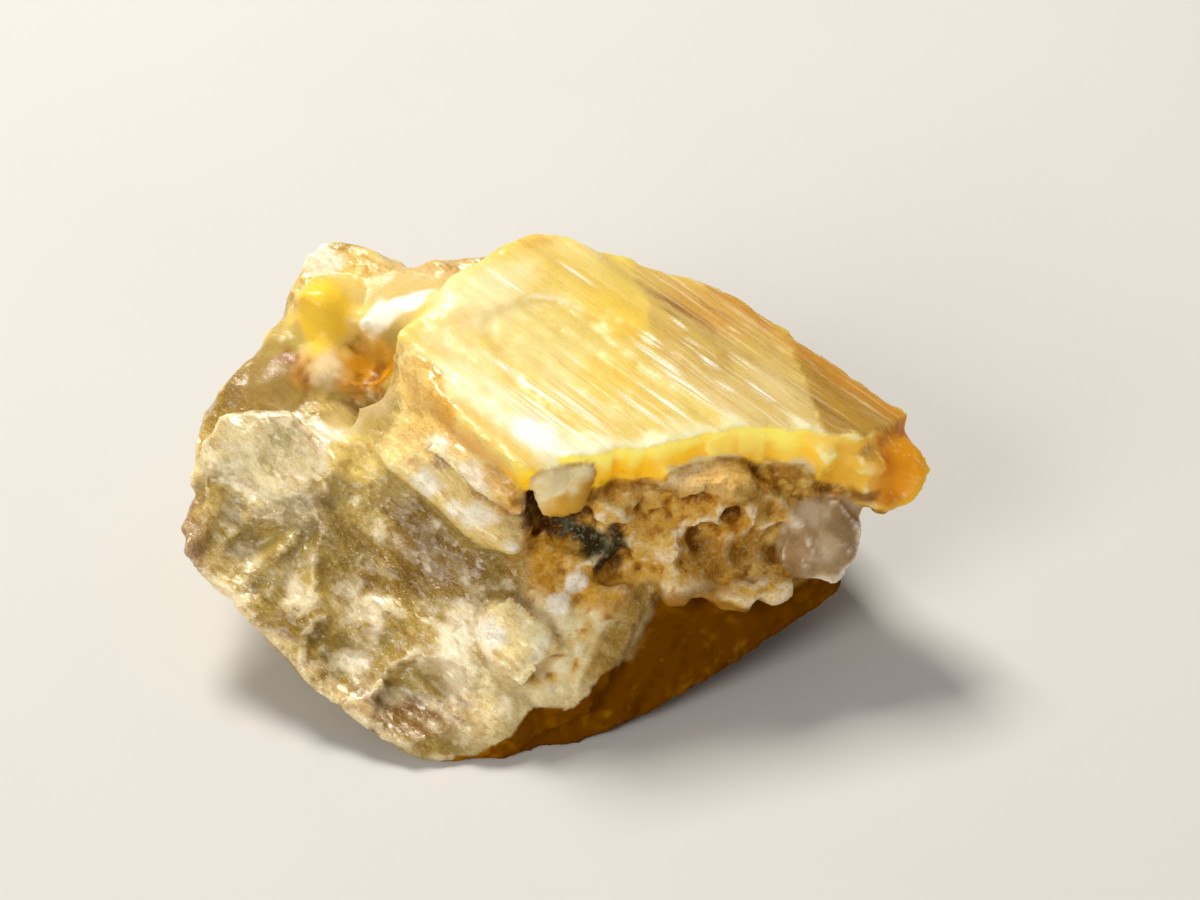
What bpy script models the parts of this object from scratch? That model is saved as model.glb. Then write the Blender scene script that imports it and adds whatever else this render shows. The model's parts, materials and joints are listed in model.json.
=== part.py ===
"""Richterite crystal: a thumbnail-sized natural specimen, grown as one piece.

A golden, striated amphibole crystal lies on top of a smoky host mineral with a large cleaved front
face. Thin shelves step down from the crystal to that face, a crust of grains fills the gap under
the crystal's broken end, and the whole rests on one flat broken face underneath.

Everything is modelled in millimetres and scaled to metres at the end. +X runs along the specimen's
length, +Y towards its back and +Z up. The origin is the middle of its footprint, on the surface
that it rests on.
"""

import math

import bmesh
import bpy
from mathutils import Matrix, Vector, noise

NODE = "richterite_crystal"
METRES_PER_MM = 0.001

# Driving dimensions, in millimetres and degrees.
FUSE_CELL = 0.28  # grid on which the overlapping masses grow together
MOST_TRIANGLES = 9200
CRYSTAL_AZIMUTH = -42.0  # the golden crystal's long axis, seen from above
CRYSTAL_DIP = 8.0  # how far that axis dips towards its front end
CRYSTAL_CENTRE = Vector((2.0, 1.5, 10.75))
FACE_NORMAL = Vector((-0.126, -0.626, 0.769))  # outwards from the large cleaved front face
FACE_ACROSS = Vector((0.98, -0.197, 0.0))
FACE_UP = FACE_NORMAL.cross(FACE_ACROSS)
WALL_NORMAL = Vector((0.1, -0.88, 0.46))  # outwards from the crust of grains
LATH_TAPER = 0.2  # share of a lath's width by which its lower edges are drawn in
GRAIN_DIVISIONS = 3
GRAIN_ROUGHNESS = 0.5  # share of a grain's radius

HOLLOW_LIP = 0.5  # a hollow leaves alone whatever stands higher than this over its mouth

# What breaking and weathering leave: the height of each relief and the size of one bowl or lump.
BOWL_HEIGHT, BOWL_SIZE = 0.6, 2.8
LUMP_HEIGHT, LUMP_SIZE = 0.34, 1.25
STREAK_HEIGHT, STREAK_WIDTH, STREAK_LENGTH = 0.09, 1.1, 16.0
# The grooves that fan out over the front face from where it was struck.
FAN_CENTRE = Vector((-8.1, -1.9, 6.1))
FAN_DEPTH, FAN_REACH = 0.4, 5.2
FAN_FIRST, FAN_SPACING = 28.0, 34.0  # degrees below the face's own horizontal


def crystal_axes():
    """Unit vectors along the golden crystal, across it, and out of its top."""
    azimuth, dip = math.radians(CRYSTAL_AZIMUTH), math.radians(CRYSTAL_DIP)
    level = Vector((math.cos(azimuth), math.sin(azimuth), 0.0))
    along = level * math.cos(dip) - Vector((0.0, 0.0, math.sin(dip)))
    across = Vector((-math.sin(azimuth), math.cos(azimuth), 0.0))
    return along, across, along.cross(across)


ALONG, ACROSS, OUT = crystal_axes()


def in_crystal(across, along, out):
    """The place of a point measured in the golden crystal's axes from its centre."""
    return CRYSTAL_CENTRE + ACROSS * across + ALONG * along + OUT * out


# Corners of the masses that grew together. Each is the convex block that its corners span.
MASSES = {
    "host": (
        (-13.5, 1.5, 6.6), (-13.6, -0.3, 6.0), (-13.0, -2.6, 4.8), (-11.2, -5.4, 3.3),
        (-8.5, -7.4, 2.0), (-7.1, -8.4, 1.2), (-4.1, -9.4, 0.0), (-2.3, -9.3, -0.5),
        (-12.3, 2.8, 7.6), (-11.0, 4.8, 8.2), (-10.2, 1.8, 7.7), (-7.4, -0.4, 7.6),
        (-4.0, -3.2, 6.3), (-1.0, -4.4, 5.4), (0.3, -5.5, 4.5), (0.5, -6.9, 3.1),
        (-0.6, -8.2, 1.7), (-12.0, 6.0, 5.0), (-9.4, 8.6, 5.2), (-11.6, 1.4, 3.0),
        (-8.6, -3.6, -0.8), (-8.4, 4.4, -0.8), (-3.0, 9.2, 3.4), (-2.6, 6.4, -0.8), (1.6, -5.6, -0.8),
    ),
    "back": (
        (-9.6, 7.8, 2.2), (-4.0, 8.8, 1.6), (2.6, 8.5, 1.6), (7.6, 5.8, 2.0),
        (-9.4, 8.1, 6.6), (-3.6, 9.0, 7.4), (3.2, 8.3, 7.4), (8.6, 5.2, 6.0),
        (10.6, 2.0, 5.0), (9.8, 1.2, 2.0), (-10.9, 5.0, 2.4), (-7.0, 6.6, -0.8),
        (4.5, 6.4, -0.8), (7.4, 2.8, -0.8), (4.0, -3.0, -0.8), (-6.0, 0.0, -0.8),
    ),
    "under_mass": (
        (4.4, -3.2, 4.4), (3.4, -4.9, 2.3), (2.0, -7.0, 0.8), (-2.2, -8.8, -0.5),
        (0.8, -8.4, 0.0), (3.2, -7.4, 0.5), (5.6, -6.1, 1.1), (8.4, -4.4, 2.0),
        (10.6, -3.1, 2.8), (10.6, -2.6, 4.6), (7.0, -4.0, 4.4), (10.8, 1.2, 3.4),
        (8.6, 4.6, 3.4), (4.6, 4.6, -0.8), (5.2, -2.6, -0.8), (-1.0, 6.0, -0.8),
    ),
    "ridge": (
        (-1.4, -4.2, 5.6), (1.2, -3.8, 5.8), (4.0, -4.1, 4.9), (2.7, -6.1, 2.9),
        (1.2, -8.1, 1.3), (-0.6, -8.4, 0.9), (-3.0, -8.9, -0.4), (0.3, -5.6, 4.5),
        (0.4, -6.9, 3.2), (4.4, -3.0, 3.0), (1.0, -3.0, 3.0), (0.0, -6.6, 0.0),
    ),
    "core": (
        (-6.8, 4.6, 8.6), (-5.6, 0.6, 8.6), (-1.2, -3.1, 8.3), (2.4, -2.9, 8.4),
        (7.6, -2.3, 8.2), (9.6, -1.5, 7.0), (-9.6, 6.2, 8.2), (-4.6, 7.4, 9.6),
        (3.4, 7.4, 8.4), (8.4, 5.0, 7.8), (10.8, 1.8, 6.8), (9.6, -1.8, 4.0),
        (-3.2, 9.2, 5.2), (4.4, 8.4, 4.6), (-9.8, 5.8, 3.0), (0.4, -3.6, 4.0),
    ),
    "knob": (
        (-9.5, 7.7, 10.5), (-8.5, 8.0, 10.9), (-7.3, 7.7, 10.8), (-6.4, 7.0, 10.4),
        (-9.7, 6.8, 9.7), (-10.4, 5.7, 8.7), (-10.3, 4.4, 8.2), (-7.6, 4.0, 8.6),
        (-6.1, 4.2, 9.3), (-5.2, 5.6, 10.2), (-9.8, 8.2, 7.0), (-6.4, 8.8, 7.2), (-4.8, 8.4, 8.0),
    ),
    "saddle": (
        (-6.8, 6.4, 10.3), (-4.6, 6.7, 10.6), (-2.4, 6.8, 11.0), (-1.6, 5.2, 11.0),
        (-5.4, 3.0, 10.2), (-6.4, 4.2, 9.8), (-6.6, 8.2, 7.6), (-1.6, 8.8, 8.2), (-4.4, 1.6, 8.0),
    ),
    "raised_facet": (
        (-13.2, -0.1, 7.3), (-12.3, 0.8, 8.2), (-9.8, 0.7, 8.4), (-7.8, -0.7, 7.8),
        (-7.8, -1.8, 6.8), (-8.7, -2.4, 6.2), (-10.3, -2.4, 6.0), (-11.8, -3.0, 5.2),
        (-13.0, -1.9, 5.9), (-12.6, 1.6, 5.4), (-8.4, -0.4, 5.6), (-11.4, -2.0, 3.6),
    ),
    "lip": (
        (-13.6, -2.0, 5.2), (-13.6, -2.9, 4.8), (-13.2, -3.4, 4.5), (-12.8, -3.9, 4.2),
        (-12.4, -4.3, 3.8), (-12.0, -2.0, 4.6), (-12.4, -2.8, 3.4), (-11.8, -3.6, 3.2),
    ),
    "tip_foot": (
        (11.2, -2.3, 6.9), (11.6, -2.6, 6.0), (12.4, -2.6, 6.3), (13.0, -2.4, 6.7),
        (12.0, -1.2, 6.4), (11.6, -1.0, 7.6), (12.8, -1.2, 7.4),
    ),
    "glassy_chunk": (
        (-2.4, -5.9, 4.5), (-1.5, -5.5, 4.9), (-0.3, -6.3, 4.3), (-0.1, -7.2, 3.6),
        (-1.1, -8.1, 2.8), (-2.4, -7.3, 3.3), (-1.6, -5.0, 3.0), (-1.4, -6.6, 1.6),
    ),
    "yellow_plate": (
        (-7.8, -0.3, 7.9), (-6.8, -0.2, 8.1), (-6.0, -1.5, 7.3), (-7.7, -1.6, 6.9), (-7.0, 0.2, 6.2),
    ),
    "shelf_root": (
        (-6.2, 2.6, 8.8), (-3.0, -1.0, 8.9), (-1.0, -3.0, 8.3), (-6.0, 0.8, 7.0),
        (-2.2, -3.0, 6.2), (-4.0, 2.4, 9.4), (0.0, -2.4, 9.0), (-0.6, -3.4, 6.4),
    ),
    "wall": (
        (0.0, -3.2, 7.8), (4.6, -2.6, 8.4), (9.2, -1.9, 7.8), (9.6, -2.7, 6.4), (9.6, -3.1, 4.4),
        (7.6, -4.2, 4.2), (4.2, -4.3, 4.4), (1.2, -4.6, 4.6), (-0.6, -4.0, 5.6), (4.0, -1.0, 6.0),
    ),
    "shelf_low": (
        (-7.8, 0.8, 8.6), (-6.6, 1.2, 9.1), (-4.6, -1.4, 8.8), (-5.9, -2.2, 8.0),
        (-7.6, 0.2, 7.0), (-4.8, -1.0, 6.6),
    ),
    "shelf_middle": (
        (-6.0, -1.9, 8.2), (-4.7, -1.2, 8.9), (-2.3, -3.0, 8.0), (-3.4, -4.1, 7.1),
        (-5.4, -1.8, 6.4), (-2.8, -3.2, 5.8),
    ),
    "shelf_finger": (
        (-3.7, -3.9, 7.3), (-2.5, -2.8, 8.1), (-0.7, -4.0, 7.4), (-0.8, -4.6, 6.9),
        (-1.4, -5.1, 6.5), (-3.4, -3.4, 5.6), (-1.2, -4.0, 5.2),
    ),
    "shelf_tan": (
        (-6.1, 2.3, 9.8), (-5.0, 2.6, 10.1), (-2.5, -1.5, 9.9), (-4.4, -1.2, 9.2),
        (-6.0, 1.8, 8.0), (-3.4, -0.8, 7.6),
    ),
    "tan_foot": (
        (-6.1, 2.2, 9.4), (-5.7, 1.0, 9.9), (-5.2, 0.2, 10.2), (-4.5, -0.8, 10.1), (-4.5, -1.5, 9.4),
        (-5.2, -0.6, 9.1), (-5.8, 0.3, 9.0), (-6.2, 1.6, 8.8), (-4.4, 1.0, 8.0), (-3.6, -0.6, 8.6),
    ),
    "shelf_high": (
        (-4.2, -0.8, 9.8), (-2.6, -1.2, 9.9), (-0.7, -3.7, 9.6), (-4.6, -2.2, 9.0),
        (-4.0, -3.0, 8.8), (-3.1, -3.8, 8.5), (-2.3, -4.3, 8.3), (-1.2, -4.6, 8.0), (-2.6, -2.6, 7.0),
    ),
    "small_crystal": (
        (-0.7, -3.8, 9.1), (1.4, -3.8, 9.2), (1.2, -4.2, 8.5), (0.4, -4.5, 7.5),
        (-0.6, -4.2, 8.4), (0.2, -2.4, 9.2), (0.6, -2.4, 7.6),
    ),
    "grey_grain": (
        (8.8, -3.0, 6.9), (10.3, -2.8, 7.0), (11.3, -3.3, 6.0), (11.0, -3.8, 5.0),
        (10.4, -4.1, 4.3), (9.1, -4.1, 4.3), (8.3, -3.7, 4.9), (9.3, -3.9, 5.9),
        (11.0, -1.6, 6.4), (10.6, -2.0, 3.8), (8.4, -2.0, 4.6), (8.6, -1.8, 6.6),
    ),
}
# The golden crystal's two ragged ends, seen from above in its own axes: (across, along).
FRONT_END = (
    (-6.6, 1.9), (-5.0, 2.6), (-3.8, 3.6), (-2.2, 4.6), (-1.1, 5.0),
    (0.1, 5.8), (1.0, 6.4), (2.2, 7.6), (3.6, 9.2), (6.0, 9.4),
)
BACK_END = (
    (-6.6, -1.6), (-5.3, -5.8), (-2.0, -6.5), (1.7, -6.5),
    (3.1, -5.8), (4.0, -4.4), (5.0, -2.4), (6.2, 0.2),
)
# Its laths, side by side: (left side, right side, drop of the top, depth).
LATHS = (
    (-6.6, -5.0, 0.45, 1.2),
    (-5.1, -3.7, 0.28, 1.5),
    (-3.8, -2.0, 0.14, 1.8),
    (-2.1, -0.5, 0.03, 2.1),
    (-0.6, 1.1, -0.03, 2.4),
    (1.0, 2.5, 0.08, 2.7),
    (2.4, 3.6, 0.26, 3.0),
    (3.5, 4.8, 0.5, 3.3),
    (4.7, 6.3, 0.72, 2.6),
)
# The sheet left on its top, its darker, lower end and the columns that it breaks into: corners in
# the same axes.
CRYSTAL_PARTS = {
    "sheet_behind": (
        (-3.4, -5.2, 0.05), (-2.0, -4.5, 0.12), (-0.6, -4.1, 0.16), (0.5, -3.4, 0.18),
        (3.6, -3.4, 0.0), (3.8, -4.6, 0.0), (3.0, -5.8, 0.05), (1.6, -6.5, 0.12),
        (-2.0, -6.5, 0.1), (0.0, -5.0, -0.8),
    ),
    "sheet_beside": (
        (0.4, -3.6, 0.18), (1.0, -1.4, 0.17), (1.6, 0.6, 0.15), (2.0, 3.4, 0.05), (3.0, 3.0, -0.06),
        (3.4, 0.0, -0.02), (3.4, -3.6, 0.02), (2.0, -1.0, -0.8),
    ),
    "dark_end": (
        (5.8, 4.1, -0.6), (3.4, 7.5, -0.5), (4.9, 9.7, -1.0), (5.6, 10.7, -1.3), (6.2, 9.4, -1.3),
        (6.5, 7.4, -1.2), (6.4, 5.2, -1.0), (5.4, 11.4, -1.7), (4.8, 11.6, -2.4), (4.3, 11.2, -3.0),
        (3.6, 10.6, -3.2), (3.2, 8.0, -2.4), (5.4, 6.0, -3.4), (5.9, 9.6, -2.6),
    ),
    "column_a": (
        (2.2, 6.0, -0.3), (3.2, 6.0, -0.3), (3.1, 8.9, -0.7), (2.3, 8.8, -0.8),
        (2.5, 8.7, -2.3), (2.7, 6.0, -2.6),
    ),
    "column_b": (
        (3.2, 7.0, -0.5), (4.2, 7.0, -0.6), (4.1, 10.3, -1.0), (3.2, 9.9, -1.2),
        (3.3, 10.0, -2.8), (3.7, 7.0, -3.0),
    ),
}
# Rounded grains in the crust and lumps on the stone: (centre, radii).
GRAINS = (
    ((2.4, -3.2, 7.5), (1.25, 0.95, 1.0)),
    ((4.6, -2.9, 8.2), (1.2, 0.8, 0.7)),
    ((6.3, -3.0, 7.9), (1.1, 0.9, 0.8)),
    ((7.6, -3.1, 6.9), (0.8, 0.9, 1.0)),
    ((5.2, -3.2, 6.9), (1.2, 0.9, 0.8)),
    ((3.7, -3.8, 5.8), (1.3, 0.7, 0.8)),
    ((4.7, -4.5, 4.6), (1.0, 0.8, 0.6)),
    ((6.5, -4.7, 4.2), (1.2, 0.8, 0.6)),
    ((7.8, -4.4, 4.3), (0.8, 0.8, 0.7)),
    ((8.7, -2.0, 7.5), (1.1, 0.9, 0.7)),
    ((1.4, -4.1, 6.0), (0.9, 0.8, 0.8)),
    ((0.2, -3.9, 6.0), (1.0, 0.7, 0.7)),
    ((1.9, -5.1, 4.4), (0.9, 0.8, 0.8)),
    ((0.9, -4.9, 5.0), (0.42, 0.4, 0.42)),
    ((0.3, -5.4, 4.5), (0.5, 0.45, 0.5)),
    ((-13.2, -1.9, 5.0), (0.55, 1.2, 0.5)),
    ((-10.5, 3.1, 7.7), (1.3, 1.2, 0.75)),
    ((-8.6, 3.2, 8.3), (1.1, 0.9, 0.7)),
    ((-10.0, 4.7, 8.5), (1.0, 0.8, 0.6)),
    ((-8.7, 5.2, 9.8), (1.1, 1.1, 1.1)),
    ((-6.8, 4.0, 9.9), (0.75, 0.6, 0.6)),
    ((-5.6, 4.5, 10.3), (0.9, 0.6, 0.5)),
    ((-4.3, 6.3, 10.4), (1.3, 0.8, 0.6)),
)
# Bowls and hollows struck out of the surface: (middle of the hollow, direction out of the stone,
# radius of its mouth, depth).
HOLLOWS = (
    ((-5.4, -4.4, 4.8), FACE_NORMAL, 3.2, 0.5),
    ((-4.8, -7.9, 1.7), FACE_NORMAL, 1.6, 0.35),
    ((-7.4, -6.4, 2.7), FACE_NORMAL, 1.6, 0.3),
    ((-2.6, -4.9, 5.2), FACE_NORMAL, 1.5, 0.3),
    ((-7.2, 2.9, 8.9), Vector((0.1, -0.5, 0.85)), 1.3, 0.7),
    ((-9.3, 2.3, 8.1), Vector((-0.1, -0.5, 0.85)), 0.8, 0.35),
    ((0.4, -4.2, 6.7), WALL_NORMAL, 1.2, 0.6),
    ((5.5, -4.0, 5.7), WALL_NORMAL, 1.1, 0.45),
    ((7.0, -4.0, 5.5), WALL_NORMAL, 1.1, 0.5),
    ((8.0, -3.5, 6.9), WALL_NORMAL, 0.8, 0.3),
    ((3.9, -3.7, 7.2), WALL_NORMAL, 0.9, 0.3),
)


def mesh_object(name, shape):
    """A new object from a bmesh, which is freed."""
    mesh = bpy.data.meshes.new(name)
    shape.to_mesh(mesh)
    shape.free()
    made = bpy.data.objects.new(name, mesh)
    bpy.context.scene.collection.objects.link(made)
    return made


def block(name, corners):
    """The convex block that these corners span."""
    shape = bmesh.new()
    for corner in corners:
        shape.verts.new(corner)
    hull = bmesh.ops.convex_hull(shape, input=shape.verts)
    inside = [e for e in hull["geom_interior"] if isinstance(e, bmesh.types.BMVert)]
    bmesh.ops.delete(shape, geom=inside, context="VERTS")
    bmesh.ops.recalc_face_normals(shape, faces=shape.faces)
    return mesh_object(name, shape)


def end_of(edge, across):
    """How far along the crystal one of its ragged ends lies, at this distance across it."""
    for (left, start), (right, stop) in zip(edge, edge[1:]):
        if across <= right:
            return start + (stop - start) * (across - left) / (right - left)
    return edge[-1][1]


def lath(name, left, right, drop, depth):
    """One lath of the golden crystal, a bar along its long axis with its lower edges drawn in."""
    taper = LATH_TAPER * (right - left)
    corners = []
    for edge in (BACK_END, FRONT_END):
        for side, inset in ((left, taper), (right, -taper)):
            end = end_of(edge, side)
            corners.append(in_crystal(side, end, -drop))
            corners.append(in_crystal(side + inset, end, -drop - depth))
    return block(name, corners)


def grain(name, centre, radii):
    """A rounded, slightly angular grain."""
    shape = bmesh.new()
    bmesh.ops.create_icosphere(shape, subdivisions=GRAIN_DIVISIONS, radius=1.0)
    for vertex in shape.verts:
        size = 1.0 + GRAIN_ROUGHNESS * noise.noise(vertex.co * 1.3 + Vector(centre))
        vertex.co = Vector([c + size * r * x for c, r, x in zip(centre, radii, vertex.co)])
    return mesh_object(name, shape)


def fuse(name, masses):
    """One closed surface round all the overlapping masses."""
    bpy.ops.object.select_all(action="DESELECT")
    for mass in masses:
        mass.select_set(True)
    bpy.context.view_layer.objects.active = masses[0]
    bpy.ops.object.join()
    stone = bpy.context.view_layer.objects.active
    stone.name = stone.data.name = name
    grow = stone.modifiers.new("grow_together", "REMESH")
    grow.mode = "VOXEL"
    grow.voxel_size = FUSE_CELL
    bpy.ops.object.modifier_apply(modifier=grow.name)
    return stone


def fill_gaps(stone):
    """Fills the gaps left shut in between the masses: only the outer surface is kept."""
    shape = bmesh.new()
    shape.from_mesh(stone.data)
    unseen = set(shape.verts)
    surfaces = []
    while unseen:
        front = [unseen.pop()]
        surface = set(front)
        while front:
            reached = {edge.other_vert(vertex) for vertex in front for edge in vertex.link_edges}
            front = list(reached - surface)
            surface.update(front)
        unseen -= surface
        surfaces.append(surface)
    outer = max(surfaces, key=len)
    inner = [vertex for vertex in shape.verts if vertex not in outer]
    bmesh.ops.delete(shape, geom=inner, context="VERTS")
    shape.to_mesh(stone.data)
    shape.free()


def ramp(value, low, high):
    """0 below low, 1 above high, and smooth between them."""
    t = min(max((value - low) / (high - low), 0.0), 1.0)
    return t * t * (3.0 - 2.0 * t)


def gold_share(point):
    """How far a point belongs to the golden crystal, from 0 to 1."""
    offset = point - CRYSTAL_CENTRE
    return ramp(offset.dot(OUT), -2.2, -1.4) * ramp(offset.dot(ACROSS), -6.8, -5.8)


def crust_share(point):
    """How far a point belongs to the crust of grains under the crystal's broken end."""
    return ramp(point.x, -0.9, 0.1) * ramp(-point.y, 1.8, 2.6) * ramp(point.z, 3.3, 4.1)


def smooth_share(point):
    """How far a point belongs to the smooth orange mass under the crust."""
    return ramp(point.x, 0.6, 1.6) * ramp(-point.y, 1.0, 3.0) * ramp(-point.z, -4.1, -3.3)


def bowls(point):
    """Relief of shallow bowls that meet in sharp ridges, as a brittle break leaves."""
    distances, sites = noise.voronoi(point / BOWL_SIZE)
    levels = []
    for distance, site in zip(distances, sites):
        levels.append(distance * distance + 0.6 * noise.cell_vector(site * 37.0).z)
    return BOWL_HEIGHT * (min(levels) - 0.5)


def fan(point):
    """Relief of the grooves that fan out over the front face."""
    offset = point - FAN_CENTRE
    left, down = -offset.dot(FACE_ACROSS), -offset.dot(FACE_UP)
    reach = math.hypot(left, down)
    on_face = ramp(-abs(offset.dot(FACE_NORMAL)), -1.8, -1.0) * ramp(left, -0.6, 0.4)
    near = ramp(reach, 0.8, 2.8) * ramp(-reach, -FAN_REACH, 1.5 - FAN_REACH)
    turn = (math.degrees(math.atan2(down, left)) - FAN_FIRST - 3.0 * reach) / FAN_SPACING
    inside = ramp(turn, -0.7, -0.3) * ramp(-turn, -1.7, -1.3)
    return -FAN_DEPTH * on_face * near * inside * (0.5 + 0.5 * math.cos(2.0 * math.pi * turn))


def lumps(point):
    return LUMP_HEIGHT * noise.fractal(point / LUMP_SIZE, 1.0, 2.0, 2)


def streaks(point):
    """Relief of low, long streaks that run along the golden crystal."""
    offset = point - CRYSTAL_CENTRE
    along = offset.dot(ALONG) / STREAK_LENGTH
    across = offset.dot(ACROSS) / STREAK_WIDTH
    return STREAK_HEIGHT * noise.noise(Vector((along, across, offset.dot(OUT) / STREAK_WIDTH)))


def struck(point):
    """Where a point of the surface ends up once the hollows are struck out."""
    for middle, outwards, mouth, depth in HOLLOWS:
        radius = (mouth * mouth + depth * depth) / (2.0 * depth)
        offset = point - Vector(middle)
        height = offset.dot(outwards)
        aside_square = (offset - outwards * height).length_squared
        if aside_square < mouth * mouth:
            floor = radius - depth - math.sqrt(radius * radius - aside_square)
            share = ramp(-height, -HOLLOW_LIP - 0.5, -HOLLOW_LIP)
            point = point - outwards * share * max(height - floor, 0.0)
    return point


def weather(stone):
    """Strikes out the hollows and gives each kind of surface its own relief."""
    normals = [vertex.normal.copy() for vertex in stone.data.vertices]
    for vertex, normal in zip(stone.data.vertices, normals):
        point = struck(vertex.co.copy())
        gold, crust, smooth = gold_share(point), crust_share(point), smooth_share(point)
        crust *= 1.0 - gold
        rest = (1.0 - gold) * (1.0 - crust) * (1.0 - smooth)
        relief = gold * streaks(point) + crust * lumps(point) + rest * (bowls(point) + fan(point))
        vertex.co = point + normal * relief


def thin_out(stone):
    """Fewer triangles where the surface is flat."""
    triangles = sum(len(face.vertices) - 2 for face in stone.data.polygons)
    thin = stone.modifiers.new("thin_out", "DECIMATE")
    thin.ratio = min(1.0, MOST_TRIANGLES / triangles)
    thin.use_collapse_triangulate = True
    bpy.ops.object.modifier_apply(modifier=thin.name)


def break_flat(stone):
    """Cuts the underside off at height 0, the flat face that the specimen rests on."""
    shape = bmesh.new()
    shape.from_mesh(stone.data)
    everything = shape.verts[:] + shape.edges[:] + shape.faces[:]
    bmesh.ops.bisect_plane(shape, geom=everything, plane_co=(0, 0, 0), plane_no=(0, 0, -1), clear_outer=True)
    rim = [edge for edge in shape.edges if edge.is_boundary]
    bmesh.ops.contextual_create(shape, geom=rim)
    bmesh.ops.triangulate(shape, faces=shape.faces)
    shape.to_mesh(stone.data)
    shape.free()


def honey_amphibole():
    finish = bpy.data.materials.new("honey_amphibole")
    finish.use_nodes = True
    surface = finish.node_tree.nodes["Principled BSDF"]
    surface.inputs["Base Color"].default_value = (0.72, 0.48, 0.14, 1.0)
    surface.inputs["Roughness"].default_value = 0.4
    surface.inputs["Metallic"].default_value = 0.0
    return finish


def main():
    for old in list(bpy.data.objects):
        bpy.data.objects.remove(old)
    masses = [block(name, corners) for name, corners in MASSES.items()]
    masses += [lath(f"lath_{i}", *sizes) for i, sizes in enumerate(LATHS)]
    for name, places in CRYSTAL_PARTS.items():
        masses.append(block(name, [in_crystal(*place) for place in places]))
    masses += [grain(f"grain_{i}", *sizes) for i, sizes in enumerate(GRAINS)]
    stone = fuse(NODE, masses)
    fill_gaps(stone)
    weather(stone)
    thin_out(stone)
    break_flat(stone)
    stone.data.materials.append(honey_amphibole())
    middle = sum((Vector(corner) for corner in stone.bound_box), Vector()) / 8.0
    centred = Matrix.Translation((-middle.x, -middle.y, 0.0))
    stone.data.transform(Matrix.Scale(METRES_PER_MM, 4) @ centred)


main()
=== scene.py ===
import itertools
import json
import math

import bmesh
import bpy
import numpy as np
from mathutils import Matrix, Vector

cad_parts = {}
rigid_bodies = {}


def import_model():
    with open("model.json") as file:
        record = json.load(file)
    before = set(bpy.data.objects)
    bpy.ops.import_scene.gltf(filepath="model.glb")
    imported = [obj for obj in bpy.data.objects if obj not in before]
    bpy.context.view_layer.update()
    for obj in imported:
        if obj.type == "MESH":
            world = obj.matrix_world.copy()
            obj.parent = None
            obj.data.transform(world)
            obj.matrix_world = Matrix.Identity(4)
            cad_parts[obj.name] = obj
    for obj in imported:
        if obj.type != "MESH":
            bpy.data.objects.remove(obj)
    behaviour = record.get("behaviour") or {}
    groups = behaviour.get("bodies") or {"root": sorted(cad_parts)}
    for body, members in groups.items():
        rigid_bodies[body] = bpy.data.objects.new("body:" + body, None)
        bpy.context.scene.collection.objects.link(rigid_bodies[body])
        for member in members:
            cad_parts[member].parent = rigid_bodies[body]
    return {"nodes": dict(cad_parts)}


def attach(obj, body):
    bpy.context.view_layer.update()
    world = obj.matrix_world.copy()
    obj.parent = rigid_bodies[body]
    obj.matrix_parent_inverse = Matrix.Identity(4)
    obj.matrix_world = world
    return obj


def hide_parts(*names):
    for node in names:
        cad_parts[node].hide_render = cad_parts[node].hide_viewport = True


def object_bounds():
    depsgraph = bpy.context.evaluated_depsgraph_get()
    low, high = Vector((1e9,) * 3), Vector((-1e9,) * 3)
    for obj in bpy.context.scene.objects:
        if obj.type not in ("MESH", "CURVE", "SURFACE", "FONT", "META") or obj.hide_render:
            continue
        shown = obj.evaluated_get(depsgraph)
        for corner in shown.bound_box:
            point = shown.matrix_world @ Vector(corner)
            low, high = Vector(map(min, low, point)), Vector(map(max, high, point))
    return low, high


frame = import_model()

# The richterite specimen. Lengths are in millimetres until a mesh is finished, as on a maker's
# drawing: +X along the specimen, +Y towards its back, +Z up, from the middle of its footprint.
MM = 0.001
NODE = "richterite_crystal"
CAD_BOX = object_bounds()

# The golden crystal's own axes: across it, along its length, and out of its top.
CRYSTAL_CENTRE = np.array((2.0, 1.5, 10.75))
AZIMUTH, DIP = math.radians(-42.0), math.radians(8.0)
ALONG = np.array((math.cos(AZIMUTH) * math.cos(DIP), math.sin(AZIMUTH) * math.cos(DIP), -math.sin(DIP)))
ACROSS = np.array((-math.sin(AZIMUTH), math.cos(AZIMUTH), 0.0))
OUT = np.cross(ALONG, ACROSS)
# The large cleaved front face of the smoky host.
FACE_CENTRE = np.array((-6.6, -4.2, 4.4))
FACE_NORMAL = np.array((-0.126, -0.626, 0.769))

# The outline of the golden crystal's broken front end, seen from above: (across, along).
FRONT_END = (
    (-6.6, 1.9), (-5.0, 2.6), (-3.8, 3.6), (-2.2, 4.6), (-1.1, 5.0),
    (0.1, 5.8), (1.0, 6.4), (2.2, 7.6), (3.6, 9.2), (6.0, 9.4),
)
# Plates of its top, seen the same way: a thin sheet, the duller second lath and the brown far end.
SHEET = (
    (-2.9, -3.4), (-2.6, -4.1), (-1.8, -4.1), (-0.8, -3.9), (-0.1, -3.6),
    (0.4, -2.9), (0.6, -2.0), (0.6, -1.2), (0.3, 0.1), (0.1, 1.7),
    (0.15, 3.8), (0.1, 6.2), (-2.2, 5.0), (-4.4, 0.7), (-3.6, -1.8),
)
SECOND = (
    (4.2, -2.6), (2.9, -0.7), (1.5, 0.6), (1.2, 1.6), (0.8, 2.8), (0.5, 6.6), (2.7, 8.2), (3.7, 6.9),
    (4.6, 5.7), (5.2, 4.8), (6.0, 4.0), (6.9, 1.0), (5.6, -2.8),
)
FAR = (
    (2.9, 7.9), (3.7, 6.9), (4.6, 5.7), (5.2, 4.8), (6.0, 4.0),
    (7.2, 5.0), (7.2, 11.0), (4.5, 12.5), (2.8, 9.6),
)
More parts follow.
